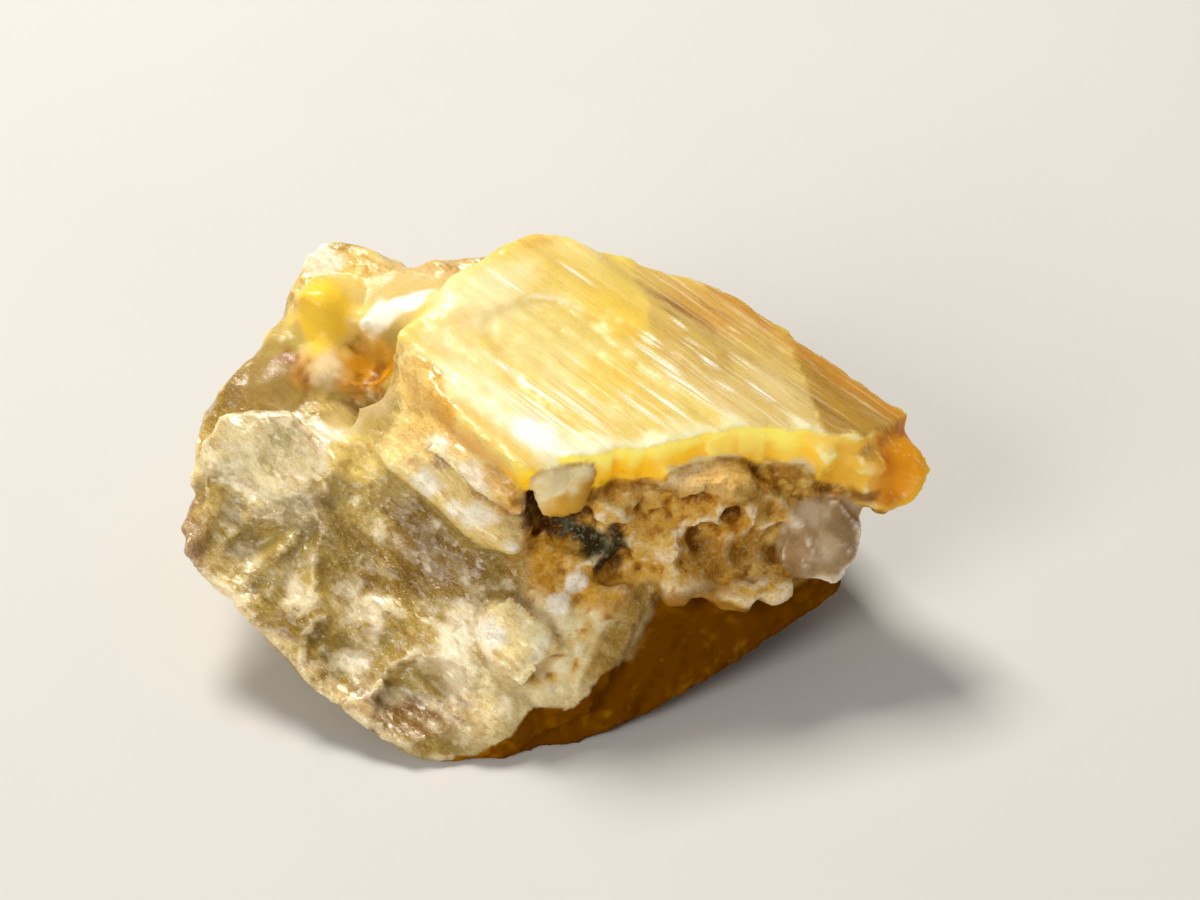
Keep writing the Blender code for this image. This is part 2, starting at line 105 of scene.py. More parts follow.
# Lines on the stone: the pale ridge, an edge of the stepped plates with a painted highlight along it and a
# gap between them with painted shade in it, curved grooves with painted shade, a dark crack and the rim of
# the left end.
RIDGE = ((3.5, -4.4, 4.8), (2.4, -6.1, 3.1), (1.3, -7.6, 1.7), (-1.0, -8.7, 0.9))
PLATE_EDGE = ((-4.4, -1.9, 9.2), (-3.5, -2.8, 9.0), (-2.7, -3.6, 8.8), (-2.0, -4.1, 8.7))
PLATE_GAP = ((-4.5, -2.1, 8.8), (-3.8, -2.9, 8.5), (-3.0, -3.7, 8.1), (-1.9, -4.5, 8.0), (-1.0, -4.7, 7.9))
GROOVES = (
    ((-11.9, -3.0, 4.7), (-11.5, -2.6, 5.0), (-10.9, -2.4, 5.7),
     (-10.2, -2.2, 6.1), (-9.3, -2.3, 6.4), (-8.1, -2.2, 6.4)),
    ((-11.0, -4.4, 4.1), (-10.7, -4.1, 4.4), (-10.2, -3.7, 4.7), (-9.4, -3.2, 5.1), (-8.8, -2.9, 5.7)),
)
CRACK = ((-0.5, -4.0, 7.7), (0.2, -3.7, 7.1), (0.9, -3.9, 6.5), (1.7, -4.1, 6.0))
LEFT_RIM = (
    (-13.2, -2.8, 4.9), (-12.8, -3.6, 4.2), (-11.5, -5.0, 3.4), (-9.2, -6.9, 2.3), (-7.2, -8.0, 1.4),
)
# Streaks of painted sheen on the crystal's top: (across, along, half the width, half the length).
SHEEN_STREAKS = (
    (2.2, 3.0, 0.35, 0.8), (2.4, 2.0, 0.22, 0.7), (1.4, 0.8, 0.25, 0.8), (2.9, 1.0, 0.2, 0.8),
    (1.7, 4.3, 0.2, 1.0), (4.7, 2.2, 0.2, 0.9), (0.6, 3.6, 0.2, 1.8), (3.3, 3.6, 0.18, 1.0),
    (0.9, 1.6, 0.18, 1.6), (2.6, 5.2, 0.2, 0.9), (-5.1, 1.1, 0.5, 1.2), (-4.5, -0.8, 0.18, 2.2),
    (-4.0, 0.6, 0.16, 2.0), (-3.4, -1.0, 0.18, 2.4), (-3.0, 1.2, 0.16, 2.0), (-2.3, 0.4, 0.18, 2.4),
    (-1.4, 2.4, 0.18, 2.2), (-0.5, 3.4, 0.16, 1.8), (-0.4, -5.0, 0.22, 1.4), (1.9, -3.4, 0.2, 1.2),
)
# Brown streaks on the second lath: ((across, along), half the length).
BROWN_STREAKS = (
    ((3.5, -0.6), 1.4), ((3.8, -0.1), 1.4), ((4.1, 0.4), 1.5), ((3.1, 0.4), 1.3), ((4.9, 1.0), 1.4),
)
# Blocks with crisp corners: the glassy chunk and the grey grain.
BLOCKS = (
    ((-2.4, -5.9, 4.5), (-1.5, -5.5, 4.9), (-0.3, -6.3, 4.3), (-0.1, -7.2, 3.6),
     (-1.1, -8.1, 2.8), (-2.4, -7.3, 3.3), (-1.6, -5.0, 3.0), (-1.4, -6.6, 1.6)),
    ((8.8, -3.0, 6.9), (10.3, -2.8, 7.0), (11.3, -3.3, 6.0), (11.0, -3.8, 5.0),
     (10.4, -4.1, 4.3), (9.1, -4.1, 4.3), (8.3, -3.7, 4.9), (9.3, -3.9, 5.9),
     (11.0, -1.6, 6.4), (10.6, -2.0, 3.8), (8.4, -2.0, 4.6), (8.6, -1.8, 6.6)),
)
# The middle of the stepped plates over the face, whose joints are healed.
PLATES_MIDDLE = (
    (-7.2, 0.8, 8.4), (-6.0, -0.5, 8.4), (-4.7, -2.0, 8.2), (-3.2, -3.2, 7.7), (-1.6, -4.2, 7.2),
)
# Places where neighbouring lumps run into each other without a step: (middle, reach).
HEALED = (
    ((-7.3, 0.9, 8.6), 1.8), ((-5.7, 4.6, 10.2), 2.6), ((-10.4, 2.9, 7.9), 1.9),
    ((-8.3, 4.9, 9.8), 2.0), ((-8.6, 3.2, 8.3), 1.7),
)
NOTCH = (-7.8, 1.5, 8.1)  # the middle of a joint that is filled
# Other places with few glints, the rusty hollow and the knob's flank: (middle, radii).
CALM = (((-7.1, 3.2, 8.5), (1.6, 1.4, 1.2)), ((-10.0, 4.2, 8.9), (1.2, 1.2, 1.0)))
# Corners that are worn a little: (middle, how often the surface is eased there).
WORN = (((2.4, -3.5, 9.4), 5), ((-1.4, -4.8, 6.2), 25))
# A brown crack around the smoky lump at the left.
LEFT_CRACK = ((-10.2, 3.7, 8.6), (-9.6, 3.2, 8.5), (-9.3, 2.8, 8.2), (-9.1, 2.4, 7.8))
# Pale veils on the cleaved face: (middle, radii).
VEILS = (
    ((-7.4, -5.0, 3.7), (0.8, 1.3, 1.1)), ((-4.9, -6.6, 2.5), (1.7, 0.6, 0.6)),
    ((-4.6, -4.0, 4.7), (0.4, 0.4, 0.4)), ((-9.6, -1.5, 6.9), (1.3, 0.4, 0.4)),
    ((-3.4, -6.9, 2.7), (0.7, 1.2, 0.9)), ((-4.3, -5.1, 4.0), (0.5, 0.4, 0.4)),
    ((-11.9, -4.2, 4.0), (0.7, 1.4, 0.9)), ((-6.4, -6.4, 2.6), (1.7, 0.4, 0.6)),
    ((-3.7, -6.0, 3.5), (0.6, 0.5, 0.5)), ((-8.6, 0.2, 8.1), (1.0, 0.4, 0.5)),
    ((-3.6, -4.8, 5.0), (0.6, 0.4, 0.4)), ((-2.6, -6.0, 4.0), (1.0, 0.9, 0.9)),
    ((-9.2, -4.6, 4.0), (0.8, 0.9, 0.8)), ((-11.0, -0.9, 7.2), (0.5, 0.6, 0.5)),
)
# The fold along the raised facet's back edge, painted with a bright highlight.
FOLD = ((-10.2, 0.8, 8.4), (-9.0, 0.4, 7.9), (-8.2, -0.4, 7.8))
# How high the crust's lower edge is at each place along the specimen: (x, z).
CRUST_EDGE = (
    (-1.0, 4.9), (2.8, 4.5), (3.6, 5.0), (4.6, 5.3), (5.6, 5.0), (6.8, 4.4), (8.0, 4.0), (13.0, 3.5),
)
# How high the orange mass reaches below the pale ridge: (x, z).
ORANGE_EDGE = (
    (-4.4, 0.1), (-3.0, 0.35), (-1.8, 0.9), (-0.9, 1.55), (0.1, 1.35), (0.5, 1.25), (1.0, 1.6), (2.0, 2.2),
)
GRID = 0.134  # size of one face of the dressed stone
CREASE_ANGLE = math.radians(30.0)  # edges sharper than this stay crisp
CRISPER = (-0.06, 0.12)  # how far corners may be drawn in and out
HEALING = 120  # how often the surface is eased where lumps have healed together
FILLING = 0.3  # how deep a joint between plates may be filled in one round
HOLLOWS = ((6, 0.05), (40, 0.16))  # small and large hollows: (rounds of easing, depth of a full one)


# ---------------------------------------------------------------- chance patterns

def chance(cells, salt):
    """A fixed number from 0 to 1 for each whole-numbered cell."""
    x, y, z = (cells[:, axis].astype(np.int64).astype(np.uint32) for axis in range(3))
    h = x * np.uint32(374761393) + y * np.uint32(668265263) + z * np.uint32(2147483647)
    h = h + np.uint32(salt * 7919 + 101)
    h = (h ^ (h >> np.uint32(15))) * np.uint32(2246822519)
    h = (h ^ (h >> np.uint32(13))) * np.uint32(3266489917)
    return (h ^ (h >> np.uint32(16))) / 4294967295.0


def fog(points, size, layers=3, salt=0):
    """Smooth chance between about -1 and 1, with lumps of this size."""
    total, weight, reach = 0.0, 1.0, 0.0
    for layer in range(layers):
        place = points / size * 2.0 ** layer + 17.3 * layer
        base = np.floor(place)
        part = place - base
        part = part * part * (3.0 - 2.0 * part)
        value = 0.0
        for corner in itertools.product((0, 1), repeat=3):
            share = np.prod(np.where(corner, part, 1.0 - part), axis=1)
            value = value + share * chance(base + corner, salt + 5 * layer)
        total = total + weight * (2.0 * value - 1.0)
        reach += weight
        weight *= 0.5
    return total / reach * 1.6


def seeds(points, size, salt=0):
    """The distances to the nearest and second nearest seed, the way from the nearest, and its lots."""
    place = points / size
    base = np.floor(place)
    near, second = np.full(len(place), 9.0), np.full(len(place), 9.0)
    way, lots = np.zeros_like(place), np.zeros_like(place)
    for step in itertools.product((-1, 0, 1), repeat=3):
        cell = base + step
        seed = cell + np.stack([chance(cell, salt + axis) for axis in range(3)], axis=1)
        distance = np.linalg.norm(place - seed, axis=1)
        closer = distance < near
        second = np.where(closer, near, np.minimum(second, distance))
        near = np.where(closer, distance, near)
        way[closer] = (place - seed)[closer]
        lots[closer] = np.stack([chance(cell[closer], salt + 3 + axis) for axis in range(3)], axis=1)
    return near, second, way, lots


def facets(points, size, salt=0):
    """Small flat facets, each tilted its own way, from about -0.5 to 0.5."""
    way, lots = seeds(points, size, salt)[2:]
    return ((lots - 0.5) * way).sum(axis=1) + 0.25 * (lots[:, 2] - 0.5)


def cobbles(points, size, salt=0):
    """Rounded grains that meet in grooves, from 0 to about 1."""
    near, second = seeds(points, size, salt)[:2]
    return np.sqrt(np.clip(second - near, 0.0, 1.0))


def ramp(value, low, high):
    """0 below low, 1 above high, and smooth between them."""
    t = np.clip((value - low) / (high - low), 0.0, 1.0)
    return t * t * (3.0 - 2.0 * t)


def line_distance(points, corners):
    """How far each point is from a line through these corners."""
    best = np.full(len(points), 1e9)
    corners = np.array(corners, dtype=float)
    for start, end in zip(corners, corners[1:]):
        way = end - start
        share = np.clip((points - start) @ way / (way @ way), 0.0, 1.0)
        best = np.minimum(best, np.linalg.norm(points - start - share[:, None] * way, axis=1))
    return best


# ---------------------------------------------------------------- the stone's places

class Stone:
    """The points of the stone's surface, their places in each set of axes, and what they are made of."""

    def __init__(self, points, normals):
        self.p, self.n = points, normals
        self.x, self.y, self.z = points.T
        offset = points - CRYSTAL_CENTRE
        self.across, self.along, self.out = offset @ ACROSS, offset @ ALONG, offset @ OUT
        self.top = np.stack((self.across, self.along), axis=1)  # flat place on the crystal's top
        self.height = (points - FACE_CENTRE) @ FACE_NORMAL  # over the cleaved face
        self.blades = np.stack((self.across, self.along * 0.3, self.out), axis=1)
        self.fibres = np.stack((self.across, self.along * 0.07, self.out), axis=1)
        self.ragged = fog(points, 0.9, 3, 40)
        self.zones()

    def spot(self, centre, radii, soft=0.35, rough=0.35):
        """1 inside a ragged spot and 0 outside it."""
        reach = np.linalg.norm((self.p - np.array(centre)) / np.array(radii), axis=1)
        return ramp(1.0 - reach + rough * self.ragged, -soft, soft)

    def spots(self, table, soft=0.35, rough=0.35):
        share = np.zeros(len(self.p))
        for centre, radii in table:
            share = np.maximum(share, self.spot(centre, radii, soft, rough))
        return share

    def patch(self, centre, radii, soft=0.5, rough=0.4):
        """A ragged patch on the crystal's top."""
        reach = np.linalg.norm((self.top - np.array(centre)) / np.array(radii), axis=1)
        return ramp(1.0 - reach + rough * self.ragged, -soft, soft)

    def plate(self, corners, soft, shift=0.0):
        """1 inside a plate on the crystal's top and 0 outside it; a shift widens it."""
        inside = np.zeros(len(self.top), dtype=bool)
        for (x0, y0), (x1, y1) in zip(corners, corners[1:] + corners[:1]):
            between = (self.top[:, 1] < y0) != (self.top[:, 1] < y1)
            inside ^= between & (self.top[:, 0] < x0 + (self.top[:, 1] - y0) * (x1 - x0) / (y1 - y0 + 1e-9))
        edge = line_distance(self.top, corners + corners[:1])
        return ramp(np.where(inside, edge, -edge) + shift, -soft, soft)

    def zones(self):
        x, y, z, ragged = self.x, self.y, self.z, self.ragged
        # the golden crystal: its top, its striated sides and its broken end
        floor = -1.7 - 1.2 * ramp(self.across, 1.5, 3.6) + 0.14 * ragged
        left = -6.5 + 1.4 * ramp(-self.along, 0.8, 4.3) + 0.14 * ragged
        ahead = self.along - np.interp(self.across, *np.array(FRONT_END).T)
        self.gold = ramp(self.out, floor - 0.08, floor + 0.08)
        self.gold *= ramp(self.across, left - 0.08, left + 0.08)
        self.gold *= ramp(self.along + 0.4 * ragged, -6.9, -6.2)
        self.gold *= (1.0 - ramp(ahead, 0.35, 0.55) * ramp(-self.across, -2.2, -1.8)
                      * ramp(-self.out, 0.6, 0.9))
        wide = (x - 0.35) / np.clip(0.4 + 0.48 * (z - 7.4) + 0.08 * ragged, 0.2, 1.2)
        tall = (z - 8.5 + 0.08 * ragged) / 1.25
        self.dome = (np.sqrt(np.clip(1.0 - wide ** 2, 0.0, 1.0) * np.clip(1.0 - tall ** 4, 0.0, 1.0))
                     * ramp(-y, 3.5, 3.7))
        self.pebble = ramp(self.dome, 0.05, 0.3)
        self.gold *= 1.0 - self.pebble
        rest = 1.0 - self.gold
        # the crust of grains under its broken end, down to the orange mass
        low = np.interp(x, *np.array(CRUST_EDGE).T) + 0.2 * ragged
        self.crust = (ramp(x + 0.3 * ragged, -1.2, -0.6) * ramp(-y, 1.6, 2.3)
                      * ramp(z, low - 0.3, low + 0.1) * rest)
        self.grain = self.spot((9.9, -3.3, 5.6), (1.75, 1.5, 1.75), 0.08, 0.1) * rest
        self.crust *= (1.0 - self.grain) * (1.0 - self.pebble)
        self.under = self.crust * ramp(self.out, floor - 0.6, floor - 0.2)  # just under the crystal
        # the orange mass, right of the pale ridge
        lowest = np.interp(x, *np.array(ORANGE_EDGE).T) + 0.2 * ragged - z
        right = (x - 0.645 * np.minimum(y, -3.0) - 6.7 + 0.15 * ragged
                 + 5.0 * ramp(lowest, -0.2, 0.2) * ramp(-y, 6.0, 7.0))
        self.orange = (ramp(right, -0.15, 0.25) * ramp(-z, -5.0, -4.3) * ramp(-y, -2.0, 0.5)
                       * rest * (1.0 - self.crust))
        self.band = self.orange * ramp(z - low + 0.2 * ragged, -1.2, -0.7) * ramp(-x, -7.4, -6.4)
        ridge = line_distance(self.p, RIDGE)
        self.ridge = (ramp(-ridge + 0.2 * ragged, -0.75, -0.35) * rest
                      * (1.0 - self.crust) * (1.0 - self.orange))
        self.smoke = np.clip(rest - self.crust - self.orange - self.grain - self.pebble, 0.0, 1.0)
        self.shelf = ramp(self.height + 0.1 * ragged, 0.8, 1.1) * self.smoke * ramp(-y, -3.0, -1.0)
        self.chunk = self.spot((-1.5, -6.6, 4.0), (1.3, 1.4, 1.4), 0.2, 0.2) * self.smoke
        self.sugar = (ramp(x + 0.3 * ragged, -1.3, -0.7) * ramp(-y, 2.5, 3.5)
                      * self.smoke * (1.0 - self.ridge))
        self.sugar *= (1.0 - self.chunk) * ramp(-z, -7.0, -6.4)

    def relief(self):
        """How far the surface stands out of the plain form."""
        on_top = ramp(self.n @ OUT, 0.6, 0.9)
        silky = ramp(self.ragged + 0.5 * self.patch((-4.0, 1.0), (2.5, 3.0), 0.8), -0.6, 0.6)
        striae = silky * (0.05 * fog(self.fibres, 0.55, 2, 1) + 0.035 * fog(self.fibres, 0.22, 2, 2))
        striae += 0.08 * facets(np.stack((self.across, self.along * 0.16, self.out * 0.3), axis=1), 1.2, 3)
        columns = np.stack((self.across, self.along * 0.4, self.out * 0.3), axis=1)
        striae += 0.05 * facets(columns, 0.7, 15)
        striae -= 0.09 * self.plate(SHEET, 0.08)
        self.facet = facets(columns, 0.9, 4)
        broken = 0.22 * self.facet + 0.05 * facets(self.p, 0.5, 5)
        gold = self.gold * (on_top * striae + (1.0 - on_top) * broken)
        grains = (0.12 * cobbles(self.p, 1.5, 6) + 0.12 * cobbles(self.p, 0.45, 7)
                  + 0.13 * fog(self.p, 0.7, 3, 13) - 0.1)
        flakes = 0.1 * facets(self.blades, 1.0, 8) + 0.07 * facets(self.blades, 0.45, 9)
        flakes += 0.05 * fog(self.blades, 0.5, 3, 10)
        ledges = ramp(-self.z, -3.4, -2.0) + 0.4 * self.shelf + ramp(self.x, -12.0, -13.5)
        steps = 0.28 * facets(np.stack((self.across, self.along * 0.12, self.out), axis=1), 0.9, 11)
        host = self.smoke * (1.0 - 0.5 * self.ridge) * (flakes + np.clip(ledges, 0.0, 1.0) * steps)
        host -= 0.3 * self.smoke * ramp(-line_distance(self.p, PLATE_GAP), -0.3, -0.05)
        for groove in GROOVES:
            host -= 0.1 * self.smoke * ramp(-line_distance(self.p, groove), -0.5, -0.05)
        host += self.chunk * 0.08 * facets(self.blades, 0.4, 19)
        chips = facets(self.p, 0.4, 18)
        gravel = 0.2 * cobbles(self.p, 0.7, 17) + 0.14 * chips - 0.1
        host += self.sugar * gravel + self.orange * 0.1 * chips
        smooth = 1.6 * self.orange + 0.6 * self.grain + self.pebble + 0.5 * self.ridge
        host += smooth * 0.035 * (fog(self.p, 0.8, 2, 12) + 2.0 * facets(self.p, 0.9, 14))
        return gold + self.crust * grains + host + 0.5 * self.dome


def on_block(points, normals, corners):
    """The points, moved on to the block with these corners wherever they lie close to it."""
    shape = bmesh.new()
    bmesh.ops.convex_hull(shape, input=[shape.verts.new(corner) for corner in corners])
    bmesh.ops.recalc_face_normals(shape, faces=shape.faces)
    planes = [(np.array(face.normal), face.normal.dot(face.verts[0].co)) for face in shape.faces]
    shape.free()
    for _ in range(3):
        over = np.max([points @ normal - depth for normal, depth in planes], axis=0)
        near = ramp(-abs(over), -0.5, -0.3)
        points = points + normals * (near * np.clip(-over, 0.0, 0.25))[:, None]
    return points


def around(points, middle, inner, outer):
    """1 up to the inner distance from a place, 0 beyond the outer one."""
    return ramp(-np.linalg.norm(points - np.array(middle), axis=1), -outer, -inner)


def eased(values, edges, rounds):
    """Each vertex's value after it has moved towards the middle of its neighbours this many times."""
    first, other = np.concatenate((edges, edges[:, ::-1])).T
    neighbours = np.bincount(first, minlength=len(values))[:, None]
    for _ in range(rounds):
        totals = [np.bincount(first, column[other], minlength=len(values)) for column in values.T]
        values = 0.5 * values + 0.5 * np.stack(totals, axis=1) / neighbours
    return values


def hollow_depth(points, normals, edges, rounds):
    """How deep each point lies under the eased surface: wider hollows count with more rounds."""
    return ((eased(points, edges, rounds) - points) * normals).sum(axis=1)


# ---------------------------------------------------------------- colours

def linear(red, green, blue):
    """A colour as seen on a screen, 0 to 255, as the light that a shader needs."""
    steps = []
    for channel in (red, green, blue):
        c = channel / 255.0
        steps.append(c / 12.92 if c <= 0.04045 else ((c + 0.055) / 1.055) ** 2.4)
    return np.array(steps)


class Paint:
    """The stone's colour at each point of its surface, before the finest grain: one coat over another, among
    them painted highlights, glints, glow and shade.
    """

    def __init__(self, stone, hollow):
        # edge: how far each point stands out of the eased surface; the pale coats laid on it are painted
        # highlights
        self.stone, self.hollow, self.edge = stone, hollow, -hollow[:, 0]
        self.mottle = fog(stone.p, 1.1, 3, 20)
        self.fine = fog(stone.p, 0.4, 3, 21)
        self.crumb = fog(stone.p, 0.22, 2, 25)
        self.blade = fog(stone.blades, 0.8, 3, 22)
        self.silk = fog(stone.fibres, 0.5, 3, 23)
        self.cloud = fog(stone.blades, 1.8, 3, 24)
        self.colour = np.tile(linear(170, 142, 56), (len(stone.p), 1))
        self.host()
        self.plates()
        self.ground()
        self.crust()
        self.rust()
        self.small_things()
        self.crystal()
        self.broken_end()

    def lay(self, tint, share):
        self.colour += (linear(*tint) - self.colour) * np.clip(share, 0.0, 1.0)[:, None]

    def line(self, corners, inner, outer, rough=0.15):
        """1 along a line on the stone, 0 away from it."""
        wavering = rough * (self.stone.ragged + self.fine)
        return ramp(wavering - line_distance(self.stone.p, corners), -outer, -inner)

    def streak(self, centre, length, width):
        """A fine streak along the crystal's top that fades towards its ends. Length and width are halves."""
        way = self.stone.top - np.array(centre)
        reach = np.hypot(way[:, 0] / width, way[:, 1] / length)
        return ramp(1.0 - reach + 0.4 * self.silk, 0.0, 0.7)

    def host(self):
        """Smoky host: olive brown glass under pale veils."""
        s, lay = self.stone, self.lay
        lay((128, 98, 12), ramp(self.mottle, 0.0, 0.9) * 0.6)
        lay((220, 194, 116), ramp(self.cloud, -0.2, 0.6) * 0.45)
        lay((136, 102, 8), s.spot((-4.9, -3.7, 5.2), (3.2, 2.3, 2.0), 0.4)
            * ramp(-self.blade, -0.8, 0.1) * 0.85)
        lay((178, 154, 76), s.spot((-10.2, -3.8, 4.6), (1.6, 1.3, 1.1), 0.4) * 0.6)
        lay((224, 212, 168), s.spot((-10.4, -0.2, 7.7), (3.2, 1.7, 2.2), 0.3) * 0.75)  # raised facet
        lay((240, 228, 186), s.spot((-9.8, -2.0, 6.5), (1.5, 0.8, 0.8), 0.5, 0.6) * 0.6)
        # painted highlight: a bright white line along the fold
        lay((255, 251, 236), self.line(FOLD, 0.2, 0.7, 0.3) * 0.9)
        lay((196, 184, 134), s.spot((-9.6, 0.4, 8.2), (1.2, 0.8, 0.9), 0.5, 0.8) * 0.7)
        lay((240, 222, 168), s.spot((-2.2, -8.0, 1.6), (1.9, 1.3, 1.9), 0.4) * 0.7)
        lay((138, 100, 52), s.spot((-5.6, -7.9, 1.4), (2.6, 1.0, 1.2), 0.3)
            * ramp(self.silk, -0.6, 0.4) * 0.85)
        # painted shade: the curved grooves darkened
        for groove in GROOVES:
            lay((112, 86, 26), self.line(groove, 0.1, 0.6, 0.3) * 0.45)
        lay((168, 154, 116), s.spot((-11.8, -2.0, 5.7), (0.55, 0.6, 0.7), 0.2, 0.2) * 0.8)
        for centre, radii in VEILS:
            lay((252, 244, 216), s.spot(centre, radii, 0.7, 0.9)
                * ramp(self.blade + 0.6 * self.fine, -0.6, 0.4) * 0.85)
        low = ramp(-s.z + 0.5 * self.cloud, -4.6, -3.4)
        lay((248, 236, 200), low * ramp(self.silk + 0.5 * self.fine, 0.35, 0.9) * 0.6)
        lay((250, 242, 210), ramp(self.blade + 0.5 * self.fine, 0.6, 1.0) * 0.7)
        # painted shade: darker brown in the hollows
        lay((112, 82, 20), ramp(self.hollow[:, 0] + 0.3 * self.fine, 0.6, 1.5) * 0.4)
        lay((236, 214, 160), self.line(LEFT_RIM, 0.2, 0.7, 0.3) * ramp(self.fine, -0.4, 0.3) * 0.75)
        # painted highlight: paler where the edges stand out
        lay((250, 240, 206), ramp(self.edge, 0.3, 1.2) * 0.65)

    def plates(self):
        """Yellow and cream plates over the face, the tan plate, the boulder and the back."""
        s, lay = self.stone, self.lay
        lay((240, 214, 122), s.spot((-7.0, -0.9, 7.4), (1.2, 1.0, 0.9), 0.15, 0.2) * 0.85)
        lay((246, 222, 148), s.shelf * 0.9)
        # painted highlight: paler edges on the stepped plates
        lay((250, 240, 206), s.shelf * ramp(self.edge + 0.4 * self.blade, 0.3, 1.1) * 0.7)
        lay((226, 188, 92), s.shelf * ramp(self.mottle, 0.2, 0.9) * 0.55)
        lay((232, 194, 102), s.spot((-4.6, -0.4, 10.2), (1.3, 2.2, 1.2), 0.2) * (1.0 - s.gold) * 0.85)
        lay((232, 176, 50), s.spot((-3.3, -1.9, 10.2), (1.3, 1.6, 0.8), 0.5, 0.8) * (1.0 - s.gold) * 0.75)
        lay((208, 154, 8), s.spot((-0.9, -4.2, 8.4), (0.9, 0.8, 0.9), 0.5, 0.6) * (1.0 - s.gold) * 0.85)
        # painted highlight: a bright line along the upper plate's edge
        lay((252, 244, 226), self.line(PLATE_EDGE, 0.05, 0.5, 0.25) * ramp(-s.x, 1.9, 2.6)
            * (1.0 - s.gold) * 0.85)
        # painted shade: a dark line in the gap under the plate's edge
        lay((150, 100, 14), self.line(PLATE_GAP, 0.02, 0.3) * 0.8)
        # painted glints: small white spots on the stepped plates
        lay((252, 248, 234), s.spots((
            ((-4.7, -2.8, 7.8), (0.8, 0.4, 0.5)), ((-2.7, -4.1, 7.3), (0.9, 0.4, 0.4)),
            ((-3.6, -3.6, 7.3), (0.3, 0.3, 0.3)), ((-1.6, -4.9, 6.6), (0.4, 0.3, 0.3))), 0.4, 0.7) * 0.85)
        lay((156, 124, 62), s.spot((-10.5, 2.6, 8.2), (1.7, 1.6, 1.2), 0.3) * 0.9)
        lay((196, 172, 128), s.spot((-6.6, 0.8, 8.8), (0.9, 0.7, 0.7), 0.4) * 0.7)
        lay((212, 184, 112), s.spot(NOTCH, (1.1, 1.0, 0.9), 0.3) * ramp(self.fine, -1.2, 0.0) * 0.85)
        lay((238, 210, 160), s.spot((-8.7, 3.2, 8.5), (1.0, 0.9, 0.9), 0.3) * 0.8)
        lay((156, 120, 88), s.spot((-13.4, -2.4, 4.9), (0.7, 1.7, 0.9), 0.3) * 0.75)
        lay((242, 214, 140), s.spot((-5.0, 6.2, 10.0), (3.6, 2.6, 1.6)) * 0.7)
        lay((194, 150, 90), s.spot((-4.2, 6.8, 10.7), (1.3, 0.7, 0.5), 0.3) * 0.6)

    def ground(self):
        """Pale ridge, sugary ground left of it and the orange mass right of it."""
        s, lay = self.stone, self.lay
        lay((255, 233, 172), s.sugar * 0.92)
        # painted highlight: paler edges on the sugary ground
        lay((255, 241, 202), s.sugar * ramp(self.edge + 0.6 * self.crumb, -0.5, 0.5) * 0.85)
        lay((234, 196, 90), s.sugar * ramp(self.mottle + 0.6 * self.fine, 0.2, 0.7) * 0.6)
        lay((236, 186, 56), s.sugar * ramp(self.fine + 0.5 * self.crumb, 0.2, 0.7) * 0.65)
        lay((214, 146, 30), s.sugar * ramp(self.fine + 0.7 * self.crumb, 0.0, 0.5)
            * ramp(s.z, 3.4, 4.6) * 0.75)
        # rust brown, deeper in the hollows as painted shade
        lay((170, 106, 14), s.sugar
            * ramp(0.6 * self.hollow[:, 0] + self.fine + 0.7 * self.crumb, 0.6, 1.0) * 0.85)
        lay((178, 140, 44), s.ridge * 0.85)
        lay((224, 196, 124), s.ridge * ramp(s.ragged + self.fine, 0.1, 0.9) * 0.5)
        lay((242, 228, 182), s.spot((0.2, -7.8, 1.7), (1.4, 0.9, 0.7), 0.3) * (1.0 - s.orange) * 0.7)
        lay((112, 63, 0), s.orange)
        lay((160, 104, 2), s.orange * ramp(self.mottle + 0.4 * self.crumb, 0.0, 0.9) * 0.6)
        lay((86, 46, 0), s.orange * ramp(-self.mottle + 0.5 * self.crumb, 0.2, 0.9) * 0.6)
        lay((184, 128, 24), s.orange * ramp(self.fine + 0.8 * self.crumb, 0.6, 1.4) * 0.35)
        lay((178, 126, 44), s.band * 0.85)
        lay((210, 168, 98), s.band * ramp(self.fine + s.ragged, 0.0, 1.0) * 0.5)
        # painted glow: a brighter amber strip low on the left of the orange mass
        lay((176, 120, 10), s.orange * ramp(-s.z, -1.6, -0.6) * ramp(-s.x, 0.4, 2.4)
            * ramp(self.crumb, -0.8, 0.4) * 0.7)

    def crust(self):
        """Crust of grains under the crystal's broken end."""
        s, lay = self.stone, self.lay
        share = s.crust
        lay((222, 176, 74), np.minimum(2.0 * share, 1.0))
        lay((240, 204, 120), share * ramp(self.mottle + 0.4 * self.crumb, -0.1, 0.6) * 0.75)
        lay((196, 138, 26), share * ramp(-self.mottle + 0.4 * self.crumb, 0.1, 0.9) * 0.7)
        # painted shade: dark brown on the crust just under the overhanging crystal
        lay((140, 90, 14), s.under * ramp(self.fine, -0.6, 0.3) * 0.8)
        # painted highlight: cream on the crust's standing edges
        lay((252, 238, 204), share * (1.0 - s.under) * ramp(self.edge + 0.5 * self.crumb, 0.2, 1.1) * 0.75)
        lay((220, 156, 30), share * ramp(self.fine + 0.4 * self.crumb, 0.4, 0.9) * 0.5)
        lay((168, 106, 8), share * ramp(self.hollow[:, 0] + 0.6 * self.crumb, 0.1, 1.0) * 0.8)
